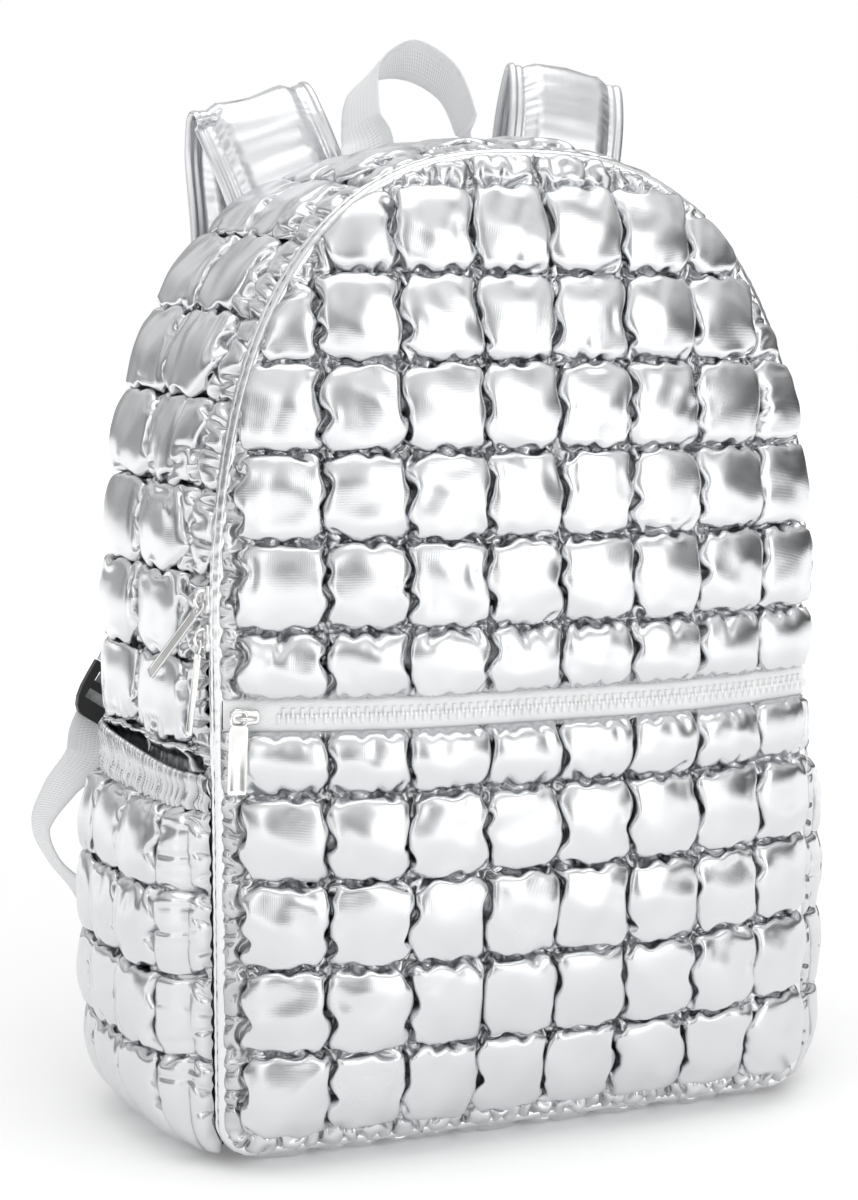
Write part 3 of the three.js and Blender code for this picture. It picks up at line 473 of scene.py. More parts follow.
def add_sheet(name, points, finish, keep, flip, uv, height=None):
    """A piece from a grid of points in millimetres; keep marks the faces' corners that stay. uv holds
    each point's place on the flat cloth, and height its distance out of the seams' surface, which sets
    the painted shade in the seams."""
    rows, columns = points.shape[:2]
    number = np.arange(rows * columns).reshape(rows, columns)
    faces = np.stack([number[:-1, :-1], number[1:, :-1], number[1:, 1:], number[:-1, 1:]], -1)
    if keep is not None:
        faces = faces[keep[:-1, :-1] & keep[1:, :-1] & keep[1:, 1:] & keep[:-1, 1:]]
    faces = faces.reshape(-1, 4)
    if flip:
        faces = faces[:, ::-1]
    used, back = np.unique(faces, return_inverse=True)
    spots = ((points.reshape(-1, 3)[used] + bag_origin) / 1000).astype(np.float32)
    mesh = bpy.data.meshes.new(name)
    mesh.vertices.add(len(spots))
    mesh.vertices.foreach_set("co", spots.ravel())
    mesh.loops.add(len(faces) * 4)
    mesh.loops.foreach_set("vertex_index", back.ravel().astype(np.int32))
    mesh.polygons.add(len(faces))
    mesh.polygons.foreach_set("loop_start", np.arange(0, len(faces) * 4, 4, dtype=np.int32))
    mesh.update(calc_edges=True)
    layer = mesh.uv_layers.new(name="cloth")
    places = uv.reshape(-1, 2)[used][back.ravel()] / 1000
    layer.data.foreach_set("uv", places.astype(np.float32).ravel())
    if height is None:
        height = np.full(points.shape[:2], 6.0)
    # The height attribute sets the painted shade deep in the seams; 6 mm or more paints none.
    layer = mesh.attributes.new("height", "FLOAT", "POINT")
    layer.data.foreach_set("value", height.reshape(-1)[used].astype(np.float32))
    return add_piece(name, mesh, finish)


def foil_fabric(name, tone, shine, crinkle):
    """Foil-coated nylon: a metal sheen, a fine weave and small creases where the foil has been bent,
    both in the bump, slow changes of tone and gloss where the coating has worn, and painted shade
    deep in the seams, a darker base colour where the height attribute is low."""
    material, tree = new_finish(name)
    place = add_node(tree, "ShaderNodeTexCoord")[3]
    cloth = add_node(tree, "ShaderNodeUVMap", {"uv_map": "cloth"})[0]
    slow = noise(tree, place, 38.0, 4.0)
    creases = noise(tree, place, 120.0, 3.0, {"noise_type": "RIDGED_MULTIFRACTAL"}, {"Roughness": 0.5})
    warp, weft = (add_node(tree, "ShaderNodeTexWave", {"bands_direction": direction},
                           {"Vector": cloth, "Scale": 700.0})[1] for direction in "XY")
    colour = two_tones(tree, slow, 0.3, tuple(c * 0.93 for c in tone), 0.7, tone)
    # Painted shade: the base colour is multiplied down to 0.58 where the height attribute puts a point
    # deep in a seam.
    height = add_node(tree, "ShaderNodeAttribute", {"attribute_name": "height"})[2]
    depth = eased(tree, height, 0.0, 6.0, 0.58, 1.0)
    colour = add_node(tree, "ShaderNodeMix", {"data_type": "RGBA", "blend_type": "MULTIPLY"},
                      {"Factor": 1.0, "A": colour, "B": depth})[0]
    gloss = slow * 0.14 + (shine - 0.07)
    relief = creases * crinkle + (warp + weft) * 0.04
    bump = add_node(tree, "ShaderNodeBump", {},
                    {"Strength": 0.35, "Distance": 0.0006, "Height": relief})[0]
    shader = add_node(tree, "ShaderNodeBsdfPrincipled", {}, {
        "Base Color": colour, "Metallic": 1.0, "Roughness": gloss, "Normal": bump})[0]
    finish_with(tree, shader)
    return material


silver = foil_fabric("silver_foil_nylon", (0.72, 0.73, 0.745), 0.25, 0.5)
grid_step = 1.75
puff_rounds = 140


def front_place(points):
    """Flat (x, z, out) to the bag: out of the crowned front along its normal, worked out from the
    crown's slope by small differences."""
    x, z, out = points[..., 0], points[..., 1], points[..., 2]
    slope_x = (crown_at(x + 1, z) - crown_at(x - 1, z)) / 2
    slope_z = (crown_at(x, z + 1) - crown_at(x, z - 1)) / 2
    size = np.sqrt(1 + slope_x ** 2 + slope_z ** 2)
    return np.stack([x - out * slope_x / size, front_plane - crown_at(x, z) - out / size,
                     z - out * slope_z / size], -1)


def front_panel(name, rows, node, seed, straight):
    """One quilted front panel: simulated flat, trimmed on the outline, laid on the crowned front."""
    u, v, flat, cut_inside = puff_up(front_columns, rows, grid_step, (1.5, 1.35), puff_rounds, seed,
                                     nearest_rim, full=8.0, straight=(straight,), lower=(0.5, 0.62),
                                     gather=(1.1, 2.2), fold=0.8, dome=(0.8, 0.9))
    inside, along = nearest_rim(flat[..., 0], flat[..., 1])
    rim_x, rim_z, _, _ = rim_at(along)
    outer = inside < 0
    flat[..., 0] = np.where(outer, rim_x, flat[..., 0])
    flat[..., 1] = np.where(outer, np.clip(rim_z, rows[0], rows[-1]), flat[..., 1])
    fine = finer(flat)
    keep = finer(np.stack([cut_inside], -1))[..., 0] > -grid_step * 1.2
    cloth = finer(grid_of(u, v))
    # The last argument is the height that sets the painted shade in the seams.
    piece = add_sheet(name, front_place(fine), silver, keep, False, cloth,
                      painted_shade_height(fine, front_columns, rows))
    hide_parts(node)


front_panel("quilted_front", upper_rows, "front_panel", 3, 0)
front_panel("quilted_front_pocket", lower_rows, "front_pocket_panel", 5, len(lower_rows) - 1)


# Piping: a cord in a strip of the same foil fabric, sewn between the front and the zip tape all round
# the front. The strip is cut along the grain, so it shows faint slanting creases.
piping_plane, piping_radius = -60.5, 2.6


def tube_along(centres, normals, binormals, radius, sides):
    """A round profile carried along a path: centre + radius * (cos * normal + sin * binormal)."""
    turn = np.linspace(0, 2 * np.pi, sides + 1)
    ring = (np.cos(turn)[None, :, None] * normals[:, None]
            + np.sin(turn)[None, :, None] * binormals[:, None])
    return centres[:, None] + ring * np.asarray(radius)[..., None]


along = np.arange(0, rim_length, 1.6)
rim = rim_at(along)
bottom_x = np.linspace(half_width - corner, -(half_width - corner), 150)[1:]
centre_x = np.concatenate([rim[0], bottom_x])
centre_z = np.concatenate([rim[1], np.full(len(bottom_x), low_seam)])
normal_x = np.concatenate([rim[2], np.zeros(len(bottom_x))])
normal_z = np.concatenate([rim[3], np.full(len(bottom_x), -1.0)])
centres = np.stack([centre_x, np.full(len(centre_x), piping_plane), centre_z], -1)
outward = np.stack([normal_x, np.zeros(len(centre_x)), normal_z], -1)
centres = np.concatenate([centres, centres[:1]])
outward = np.concatenate([outward, outward[:1]])
length = np.arange(len(centres)) * 1.6
turn = np.linspace(0, 2 * np.pi, 17)
creases = 0.13 * wavy(length[:, None] + 1.5 * turn[None, :], 5.5, 11)
creases[-1] = creases[0]
piping_points = tube_along(centres, outward, np.tile([0.0, 1.0, 0.0], (len(centres), 1)),
                           piping_radius + creases, 16)
cloth = grid_of(length, turn * piping_radius)
piping_fabric = foil_fabric("silver_piping", (0.8, 0.81, 0.82), 0.24, 0.25)
piece = add_sheet("front_edge_piping", piping_points, piping_fabric, None, False, cloth)
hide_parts("front_piping")
across = np.linspace(0, np.pi, 9)
lap = np.stack([1.9 + 1.2 * np.sin(across), 3.9 - 1.5 * np.cos(across)], -1)
folds = 0.16 * wavy(length[:, None] + 0.8 * np.arange(9)[None, :], 6.5, 13) * np.sin(across)
folds[-1] = folds[0]
lap_points = (centres[:, None] + (lap[None, :, :1] + folds[..., None]) * outward[:, None]
              + lap[None, :, 1:] * np.array([0.0, 1.0, 0.0]))
cloth = grid_of(length, across * 2)
piece = add_sheet("piping_seam_allowance", lap_points, piping_fabric, None, True, cloth)
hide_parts("front_piping")


# Zips: woven tape with moulded teeth in two rows that lock into each other. The front zip is white;
# the main zip runs round the bag right behind the piping and has dark teeth.
def woven(name, tone, dark, scale, rough):
    """Woven polyester: fine twill ribs in tone and bump, with slow dulling along it."""
    material, tree = new_finish(name)
    cloth = add_node(tree, "ShaderNodeUVMap", {"uv_map": "cloth"})[0]
    turned = add_node(tree, "ShaderNodeMapping", {}, {"Vector": cloth, "Rotation": (0, 0, 0.9)})[0]
    rib = add_node(tree, "ShaderNodeTexWave", {}, {"Vector": turned, "Scale": scale})[1]
    thread = add_node(tree, "ShaderNodeTexWave", {"bands_direction": "Y"},
                      {"Vector": cloth, "Scale": scale * 1.6})[1]
    wear = noise(tree, cloth, 60.0, 3.0)
    value = rib * 0.55 + thread * 0.25 + wear * 0.2
    colour = two_tones(tree, value, 0.15, dark, 0.8, tone)
    bump = add_node(tree, "ShaderNodeBump", {}, {"Strength": 0.5, "Distance": 0.0003, "Height": value})[0]
    shader = add_node(tree, "ShaderNodeBsdfPrincipled", {}, {
        "Base Color": colour, "Roughness": wear * 0.15 + rough, "Sheen Weight": 0.3, "Normal": bump})[0]
    finish_with(tree, shader)
    return material


zip_tape = woven("zip_tape_weave", (0.97, 0.97, 0.975), (0.82, 0.83, 0.84), 380.0, 0.6)


def front_strip(x, z, out):
    """A strip on the crowned front: the given distance in front of its seam surface."""
    return np.stack([x, front_plane - crown_at(x, z) - out, z], -1)


x = np.linspace(-half_width + 0.5, half_width - 0.5, 140)
z = np.array([zip_low - 3, zip_low, zip_low + 0.8, zip_low + 3.2,
              zip_high - 3.2, zip_high - 0.8, zip_high, zip_high + 3])
out = np.array([-2.0, 0.5, 1.5, 1.4, 1.4, 1.5, 0.5, -2.0])
grid_x, grid_z = np.meshgrid(x, z, indexing="ij")
points = front_strip(grid_x, grid_z, np.broadcast_to(out, grid_x.shape))
piece = add_sheet("front_zip_ribbon", points, zip_tape, None, False, np.stack([grid_x, grid_z], -1))
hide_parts("front_zip_tape")


def tooth_shape(size):
    """One moulded tooth, lying along its own y: a narrow neck and a wider rounded head, as rings of a
    rounded box section; returns points and faces."""
    deep = np.array([0.0, 0.3, 0.5, 0.72, 0.95, 1.0]) * size * 1.02
    wide = np.array([0.5, 0.38, 0.28, 0.52, 0.46, 0.2]) * size * 0.82
    tall = np.array([1.4, 1.7, 1.6, 2.0, 1.8, 1.1])
    ring = np.array([[-1, 0], [-1, 0.7], [-0.6, 1], [0.6, 1], [1, 0.7], [1, 0]])
    points = np.stack([ring[None, :, 0] * wide[:, None] / 2, np.broadcast_to(deep[:, None], (6, 6)),
                       ring[None, :, 1] * tall[:, None]], -1)
    number = np.arange(36).reshape(6, 6)
    faces = np.stack([number[:-1, :-1], number[:-1, 1:], number[1:, 1:], number[1:, :-1]], -1)
    return points.reshape(-1, 3), faces.reshape(-1, 4), number[-1:]


def add_parts(name, finish, points, faces, ends):
    """A piece of many copies of one shape: points is (copies, points, 3) in millimetres."""
    copies, count = points.shape[:2]
    start = (np.arange(copies) * count)[:, None, None]
    every = (faces[None] + start).reshape(-1, faces.shape[1]).tolist()
    every += (ends[None] + start).reshape(-1, ends.shape[-1]).tolist()
    mesh = bpy.data.meshes.new(name)
    mesh.from_pydata(((points.reshape(-1, 3) + bag_origin) / 1000).tolist(), [], every)
    return add_piece(name, mesh, finish)


def teeth_rows(centres, along, across, outward, size):
    """Teeth in two rows: even ones from one side, odd ones from the other, each turned half round."""
    points, faces, end = tooth_shape(size)
    side = np.where(np.arange(len(centres)) % 2 == 0, 1.0, -1.0)[:, None, None]
    local = points[None]
    placed = (centres[:, None] + local[..., :1] * side * along[:, None]
              + (local[..., 1:2] - size * 0.78) * side * across[:, None]
              + local[..., 2:] * outward[:, None])
    return placed, faces, end


def moulded(name, tone, rough, metal=0.0):
    """Moulded or plated hard stuff: slight clouding of tone and gloss, a very fine bump."""
    material, tree = new_finish(name)
    place = add_node(tree, "ShaderNodeTexCoord")[3]
    cloud = noise(tree, place, 160.0, 4.0)
    colour = two_tones(tree, cloud, 0.3, tuple(c * 0.88 for c in tone), 0.7, tone)
    bump = add_node(tree, "ShaderNodeBump", {},
                    {"Strength": 0.15, "Distance": 0.0002, "Height": cloud})[0]
    shader = add_node(tree, "ShaderNodeBsdfPrincipled", {}, {
        "Base Color": colour, "Metallic": metal, "Roughness": cloud * 0.12 + rough, "Normal": bump})[0]
    finish_with(tree, shader)
    return material


white_teeth = moulded("white_moulded_teeth", (0.93, 0.935, 0.94), 0.3)
dark_teeth = moulded("dark_moulded_teeth", (0.16, 0.16, 0.17), 0.35, 0.5)
nickel = moulded("bright_nickel", (0.83, 0.83, 0.82), 0.18, 1.0)
black_plastic = moulded("black_acetal", (0.022, 0.022, 0.023), 0.38)

pitch = 1.85
x = np.arange(-half_width + 22, half_width - 2, pitch)
middle = (zip_low + zip_high) / 2
slope = (crown_at(x + 1, np.full_like(x, middle)) - crown_at(x - 1, np.full_like(x, middle))) / 2
size = np.sqrt(1 + slope ** 2)
run = np.stack([1 / size, -slope / size, np.zeros_like(x)], -1)
out = np.stack([-slope / size, -1 / size, np.zeros_like(x)], -1)
placed, faces, end = teeth_rows(front_strip(x, np.full_like(x, middle), 1.3), run,
                                np.tile([0.0, 0.0, 1.0], (len(x), 1)), out, 4.0)
piece = add_parts("front_zip_teeth_rows", white_teeth, placed, faces, end)
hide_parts("front_zip_teeth")


def rings_to_faces(rings, looped=False):
    """Faces through closed rings of equally many points: quads between neighbours, and a flat face
    over each end unless the last ring meets the first."""
    count, sides = rings.shape[:2]
    number = np.arange(count * sides).reshape(count, sides)
    after = np.roll(number, -1, axis=1)
    if looped:
        number, after = np.append(number, number[:1], 0), np.append(after, after[:1], 0)
    faces = np.stack([number[:-1], after[:-1], after[1:], number[1:]], -1).reshape(-1, 4)
    ends = None if looped else np.stack([number[0, ::-1], number[-1]])
    return rings.reshape(-1, 3), faces, ends


def rounded(wave, power):
    """A cosine or sine to a power with its sign kept, which rounds or squares a section."""
    return np.sign(wave) * np.abs(wave) ** power


def slider_rings(width):
    """A slider's body along its own x: 12 mm long, widest near its divided end, 4.4 mm thick, as
    superellipse sections whose thickness is eased at both ends."""
    x = np.array([-6.0, -5.8, -5.0, -3.4, -1.0, 2.0, 4.6, 5.7, 6.0])
    wide = np.array([0.45, 0.66, 0.86, 1.0, 0.9, 0.72, 0.74, 0.66, 0.5]) * width / 2
    thick = np.array([1.2, 1.9, 2.2, 2.2, 2.2, 2.2, 2.2, 1.9, 1.2])
    turn = np.arange(28) * 2 * np.pi / 28
    a, b = rounded(np.cos(turn), 0.35), rounded(np.sin(turn), 0.35)
    return np.stack([np.broadcast_to(x[:, None], (9, 28)), wide[:, None] * a,
                     2.2 + thick[:, None] * b], -1)


def bridge_rings():
    """The wire loop that stands on the slider and holds the pull: a 1.8 mm wire over an arch."""
    t = np.linspace(0, np.pi, 15)
    middle = np.stack([-3.75 * np.cos(t), 0 * t, 3.6 + 4.6 * np.sin(t) ** 0.6], -1)
    run = np.gradient(middle, axis=0)
    run /= np.linalg.norm(run, axis=1)[:, None]
    up = np.cross(run, [0.0, 1.0, 0.0])
    turn = np.arange(12) * 2 * np.pi / 12
    return middle[:, None] + 0.9 * (np.cos(turn)[None, :, None] * up[:, None]
                                    + np.sin(turn)[None, :, None] * np.array([0.0, 1.0, 0.0]))


def pull_rings(length, width):
    """A flat pull from under its eye down: a plate 1.2 mm thick with a raised rim round a plain
    recessed field, as sections of 16 points that narrow a little at both ends."""
    y = np.array([-2.9, -3.1, -4.4, -5.2, -length + 1.9, -length + 1.1, -length + 0.2, -length])
    wide = np.array([0.8, 0.9, 1, 1, 1, 1, 0.96, 0.88]) * width / 2
    dent = np.array([0, 0, 0, 1, 1, 0, 0, 0]) * 0.28
    across = np.array([-1, -0.97, -0.74, -0.68, 0.68, 0.74, 0.97, 1])
    height = np.array([0.3, 0.6, 0.6, 0.6, 0.6, 0.6, 0.6, 0.3])
    deep = np.array([0, 0, 0, 1, 1, 0, 0, 0])
    top = height[None, :] - dent[:, None] * deep[None, :]
    a = wide[:, None] * across[None, :]
    up = np.stack([a, np.broadcast_to(y[:, None], a.shape), top], -1)
    down = np.stack([a, np.broadcast_to(y[:, None], a.shape), -top], -1)[:, ::-1]
    return np.concatenate([up, down], axis=1)


def eye_rings(width):
    """The pull's eye: a squarish loop of bar 1.3 mm thick on a superellipse, as wide as the pull."""
    t = np.arange(32) * 2 * np.pi / 32
    turn = np.arange(10) * 2 * np.pi / 10
    out = np.stack([np.sin(t), np.cos(t), 0 * t], -1)
    middle = rounded(out, 0.6) * np.array([width / 2 - 0.65, 3.1, 0.0])
    return middle[:, None] + 0.65 * (np.cos(turn)[None, :, None] * out[:, None]
                                     + np.sin(turn)[None, :, None] * np.array([0.0, 0.0, 1.0]))


def turned(points, angle, first, second):
    """Points turned about one axis: the first axis moves towards the second by the angle."""
    result = points.copy()
    result[..., first] = points[..., first] * np.cos(angle) - points[..., second] * np.sin(angle)
    result[..., second] = points[..., first] * np.sin(angle) + points[..., second] * np.cos(angle)
    return result


def add_slider(name, place, along, outward, width, length, pull_width, hang, lift):
    """A slider with its bridge and its pull, set into the frame of the zip; the pull swings by hang
    round the slider and is lifted off it by lift."""
    basis = np.stack([along, np.cross(outward, along), outward])
    for suffix, shapes in (("_slider", (slider_rings(width), bridge_rings())),
                           ("_pull", (pull_rings(length, pull_width), eye_rings(pull_width)))):
        every_point, every_face = [], []
        for number, rings in enumerate(shapes):
            looped = suffix == "_pull" and number == 1
            if suffix == "_pull":
                rings = turned(turned(rings, -lift, 1, 2), hang, 0, 1) + [-3.75, 0, 6.6]
            points, faces, ends = rings_to_faces(rings, looped)
            first = sum(len(group) for group in every_point)
            every_point.append(points)
            every_face += (faces + first).tolist() + ([] if looped else (ends + first).tolist())
        points = np.concatenate(every_point) @ basis + place
        mesh = bpy.data.meshes.new(name + suffix)
        mesh.from_pydata(((points + bag_origin) / 1000).tolist(), [], every_face)
        piece = add_piece("plated_" + name + suffix, mesh, nickel)
        mesh.set_sharp_from_angle(angle=np.radians(38))
        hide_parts(name + suffix)


slider_x = -half_width + 14
slider_place = np.array([slider_x - 6.3, front_plane - crown_at(slider_x, middle) - 0.6, middle])
add_slider("front_zip", slider_place, np.array([1.0, 0, 0]), np.array([0, -1.0, 0]),
           8.5, 31, 8, -0.06, 0.05)

tape_front, tape_width = -57.6, 6.8
s = np.linspace(0, rim_length, 640)
y = tape_front + np.array([-2.0, 0.2, 1.0, 2.2, 4.6, 5.8, 6.6, 8.5])
out = np.array([-2.0, 0.0, 0.5, 0.2, 0.2, 0.5, 0.0, -2.0])
rim = rim_at(s)
points = np.stack([rim[0][:, None] + rim[2][:, None] * out, np.broadcast_to(y, (len(s), len(y))),
                   rim[1][:, None] + rim[3][:, None] * out], -1)
piece = add_sheet("main_zip_ribbon", points, zip_tape, None, True,
                  grid_of(s, y))
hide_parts("main_zip_tape")
corner_extra = corner * (np.pi / 2 - 1)  # the way along the rim up to a height, less that height
start = 154.0 + corner_extra + 6
for which, spot, hang, lift in (("lower", 220.0, 0.0, 0.12), ("upper", 236.0, 0.5, 0.45)):
    rim = [float(value) for value in rim_at(spot + corner_extra)]
    outward = np.array([rim[2], 0, rim[3]])
    add_slider("main_zip_" + which, np.array([rim[0], tape_front + 3.4, rim[1]]) + 0.3 * outward,
               np.array([rim[3], 0, -rim[2]]), outward, 6.2, 37, 6, -np.pi / 2 - hang, lift)
s = np.arange(start, rim_length - start, pitch)
s = s[(s < 224) | (s > 252)]
rim = rim_at(s)
out = np.stack([rim[2], np.zeros_like(s), rim[3]], -1)
run = np.stack([rim[3], np.zeros_like(s), -rim[2]], -1)
centres = np.stack([rim[0], np.full_like(s, tape_front + tape_width / 2), rim[1]], -1) + out * 0.4
placed, faces, end = teeth_rows(centres, run, np.tile([0.0, 1.0, 0.0], (len(s), 1)), out, 3.2)
piece = add_parts("main_zip_teeth_rows", dark_teeth, placed, faces, end)
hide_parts("main_zip_teeth", "main_zip_teeth_lower")


# Side band: the quilted strip that makes the bag's sides and top, sewn to the zip tape at its front
# edge and to the back at its rear. It swells between its edges and leans out towards the back, and
# lies flat where the side pockets cover it.
band_front, band_rear, band_bulge = -50.5, 61.7, 2.0
row_pitch = 36.0
band_rows = int(round(rim_length / row_pitch))
band_pitch = rim_length / band_rows
band_columns = [-50.5, -38.5, 13.0, 61.7]


def band_place(s, y, out, bulge=band_bulge):
    """Outline at s, moved out along its normal by the flare, by a rounded bulge across the depth that
    fades under the bag, and by out."""
    x, z, normal_x, normal_z = rim_at(s)
    depth = (y - front_plane) / body_depth
    inside = np.clip((y - band_front) / (band_rear - band_front), 0, 1)
    profile = np.sqrt(np.maximum(0, 1 - np.abs(2 * inside - 1) ** 4))
    weight = np.clip(1 + normal_z, 0, 1) * np.where(normal_z > 0, 1 - 0.75 * normal_z, 1)
    offset = back_flare * depth * normal_x ** 2 + bulge * profile * weight + out
    return np.stack([x + normal_x * offset, y, z + normal_z * offset], -1)


band_seams = [band_pitch * k for k in range(band_rows + 1)]
u, v, flat, _ = puff_up(band_seams, band_columns, grid_step, (1.58, 1.5), puff_rounds, 17,
                        over=((0, 0), (3, 3)), full=8.2, wander=(1.2, 1.8), lower=(0.75, 0.6),
                        gather=(0.9, 1.6), fold=0.72, dome=(0.8, 0.9))
from_corner = np.minimum(flat[..., 0], rim_length - flat[..., 0])
covered_to, pleats_from, pleats_to, mouth_seam, mouth_depth = 150, 140, 192, 179, 7.0
flat[..., 2] *= np.clip((from_corner - covered_to) / 12, 0.35, 1)
pleated = np.clip((from_corner - pleats_from) / 8, 0, 1) * np.clip((pleats_to - from_corner) / 14, 0, 1)
flat[..., 2] += 1.3 * wavy(flat[..., 1] + 0.05 * flat[..., 0], 6.5, 19) * pleated
mouth = np.clip((mouth_seam - from_corner) / 5, 0, 1) * np.clip((flat[..., 1] - band_front) / 10, 0, 1)
flat[..., 2] -= mouth_depth * mouth
cloth = finer(grid_of(u, v))
fine = finer(flat)
sliders_from, sliders_to, tape_covered = 176, 262, 5.6
bare = np.clip((fine[..., 0] - sliders_from) / 10, 0, 1) * np.clip((sliders_to - fine[..., 0]) / 10, 0, 1)
near_front = np.clip(1 - (fine[..., 1] - band_front) / 16, 0, 1)
fine[..., 1] -= tape_covered * near_front * (1 - bare)
placed = band_place(fine[..., 0], fine[..., 1], fine[..., 2])
side_rows = int(round(band_rows * 0.36))
cuts = [0, *(2 * int(np.argmin(np.abs(u - band_pitch * k))) for k in (side_rows, band_rows - side_rows)),
        len(placed) - 1]
for name, low, high in zip(("left", "top", "right"), cuts[:-1], cuts[1:]):
    rows = slice(low, high + 1)
    # The height attribute is the puffs' height plus 1.5 mm, which sets their painted seam shade.
    piece = add_sheet("quilted_side_band_" + name, placed[rows], silver, None, True, cloth[rows],
                      fine[rows, :, 2] + 1.5)
    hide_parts("gusset_" + name)


# Base: the same quilting, sewn in between the front and the back and pressed flat on the floor under
# the bag, with the puffs at its edges swelling out past the seams.
base_half = half_width - corner - 0.3
base_columns = [-base_half, -96.7, -63.4, -30.1, 3.2, 36.5, 69.8, 103.1, base_half]
base_rows = [-57.6, -38.5, -4.8, 28.9, 61.7]
u, v, flat, _ = puff_up(base_columns, base_rows, grid_step, (1.35, 1.35), puff_rounds, 23,
                        over=((6, 6), (4, 4)))
fine = finer(flat)
cloth = finer(grid_of(u, v))
under = np.maximum(low_seam - fine[..., 2] * 1.1, 0.15 + 0.1 * np.sin(fine[..., 0] * 0.6))
placed = np.stack([fine[..., 0], fine[..., 1], under], -1)
piece = add_sheet("quilted_base", placed, silver, None, True, cloth)
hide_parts("base_panel")


# Side pockets: quilted pouches sewn along their bottom and sides, held in at the top by a band of
# elastic that gathers the foil into narrow pleats.
pocket_low, pocket_high, band_height, back_rise = 13.0, 156.0, 14.0, 9.0
pocket_columns = [-57.6, -38.5, -4.8, 28.9, 61.7]
pocket_rows = [13.0, 48.0, 84.0, 120.0, 155.7]


def rim_to(z):
    """Distance along the left side of the outline up to a height: the corner arc, then straight."""
    up = z - low_seam
    arc = corner * np.arccos(np.clip(1 - up / corner, -1, 1))
    return np.where(up < corner, arc, corner * np.pi / 2 + up - corner)


def pocket_place(y, z, out, sign):
    """The side band's surface with a larger bulge, which grows from the bottom seam upwards."""
    share = 1 - (1 - np.clip((z - pocket_low) / 40.0, 0, 1)) ** 2
    drawn_in = np.clip((z - pocket_high + 45.0) / 45.0, 0, 1) ** 2
    stand = 9.0 + 7.0 * share - 6.5 * drawn_in
    placed = band_place(rim_to(z), y, out + 3.3, stand)
    return placed * [-sign, 1, 1]


for side, sign, seed in (("left", -1, 31), ("right", 1, 37)):
    u, v, flat, _ = puff_up(pocket_columns, pocket_rows, grid_step, (1.56, 1.4), puff_rounds, seed,
                            over=((0, 2), (3, 0)), full=7.6, wander=(1.4, 1.3), lower=(0.6, 0.6),
                            gather=(0.5, 2.2), fold=0.72, dome=(0.8, 0.9))
    fine = finer(flat)
    cloth = finer(grid_of(u, v))
    placed = pocket_place(fine[..., 0], fine[..., 1], fine[..., 2], sign)
    # The height attribute is the puffs' height plus 1.5 mm, which sets their painted seam shade.
    piece = add_sheet("quilted_side_pocket_" + side, placed, silver, None, sign > 0, cloth,
                      fine[..., 2] + 1.5)
    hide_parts("side_pocket_" + side)
    # The pleated elastic band: up its outside, over the top and down inside, in pleats of 3 to 4 mm,
    # with painted shade in their depths and inside the pocket's mouth.
    y = np.linspace(-57.6, 61.7, 420)
    t = np.linspace(0, 1, 25)
    grid_y, grid_t = np.meshgrid(y, t, indexing="ij")
    up = np.where(grid_t < 0.6, grid_t / 0.6, 1 - (grid_t - 0.6) / 0.4 * 0.9)
    rise = back_rise * np.clip((grid_y + 57.6) / body_depth, 0, 1)
    height = pocket_high - 1 + up * (band_height + rise + 1)
    pleat = wavy(grid_y + 0.8 * np.sin(height * 0.35), 3.4, seed)
    thick = np.where(grid_t < 0.6, 1.4, -1.6) * np.clip(np.abs(grid_t - 0.6) / 0.06, 0, 1)
    out = thick + pleat * (1.1 + 0.7 * np.sin(np.pi * np.clip(up, 0, 1))) + 0.6 * np.sin(up * np.pi * 3)
    height = height + 0.7 * pleat * (up > 0.9)
    # Painted shade: the height attribute is low in the pleats' hollows and far lower on the inside, which
    # darkens the base colour there.
    piece = add_sheet("pleated_pocket_band_" + side, pocket_place(grid_y, height, out, sign), silver,
                      None, sign > 0, np.stack([grid_y, height + grid_t * 30], -1),
                      2.2 + 2.4 * pleat - 9 * (grid_t > 0.62))
    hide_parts("pocket_band_" + side)


# Back panel: a flat pad of foil fabric over foam, with a rounded edge and a stitched line inside it,
# sewn to the side band and the base all round.
back_front, back_thickness, crown_depth = 62.0, 10.0, 10.6
s = np.linspace(0, rim_length, 500)
rim = rim_at(s)
flare = back_flare * rim[2] ** 2
straight_x = np.linspace(half_width - corner, -(half_width - corner), 140)[1:-1]
edge_x = np.concatenate([rim[0] + rim[2] * flare, straight_x])
edge_z = np.concatenate([rim[1] + rim[3] * flare, np.full(138, low_seam)])
edge_x, edge_z = np.append(edge_x, edge_x[0]), np.append(edge_z, edge_z[0])
inset = np.concatenate([[4, 1.2, 0.2, 0, 0.3, 1.3, 3], [5, 8, 9, 9.6, 10.2, 11, 14],
                        np.linspace(18, 134, 36)])
deep = np.concatenate([[0, 0.6, 2.2, 5, 7.6, 9.3, 10], [10.6, 11, 10.6, 9.4, 10.6, 11.2, 11.8],
                       12 + 1.8 * np.sin(np.linspace(0, np.pi, 36))])
share = 1 - inset / 138.0
share[-1] = 0
middle_x, middle_z = 0.0, 200.0
grid_x = middle_x + (edge_x[:, None] - middle_x) * share
grid_z = middle_z + (edge_z[:, None] - middle_z) * share
field = np.clip((inset - 14) / 20, 0, 1) * np.clip((134 - inset) / 30, 0, 1)
ripple = 0.5 * wavy(grid_z + grid_x * 0.3, 42.0, 5) * field
grid_y = back_front + deep[None, :] * (back_thickness / crown_depth) + ripple
grid_y[:, -1] = grid_y[:, -1].mean()
piece = add_sheet("padded_back", np.stack([grid_x, grid_y, grid_z], -1), silver, None, False,
                  np.stack([grid_x, grid_z], -1))
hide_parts("back_panel")


# Handle: a loop of light grey twill webbing, 25 mm wide, that leans over the back and is sewn flat
# into the back seam at both feet.
def length_along(points):
    """Distance of each point along a path."""
    return np.concatenate([[0], np.cumsum(np.linalg.norm(np.diff(points, axis=0), axis=1))])


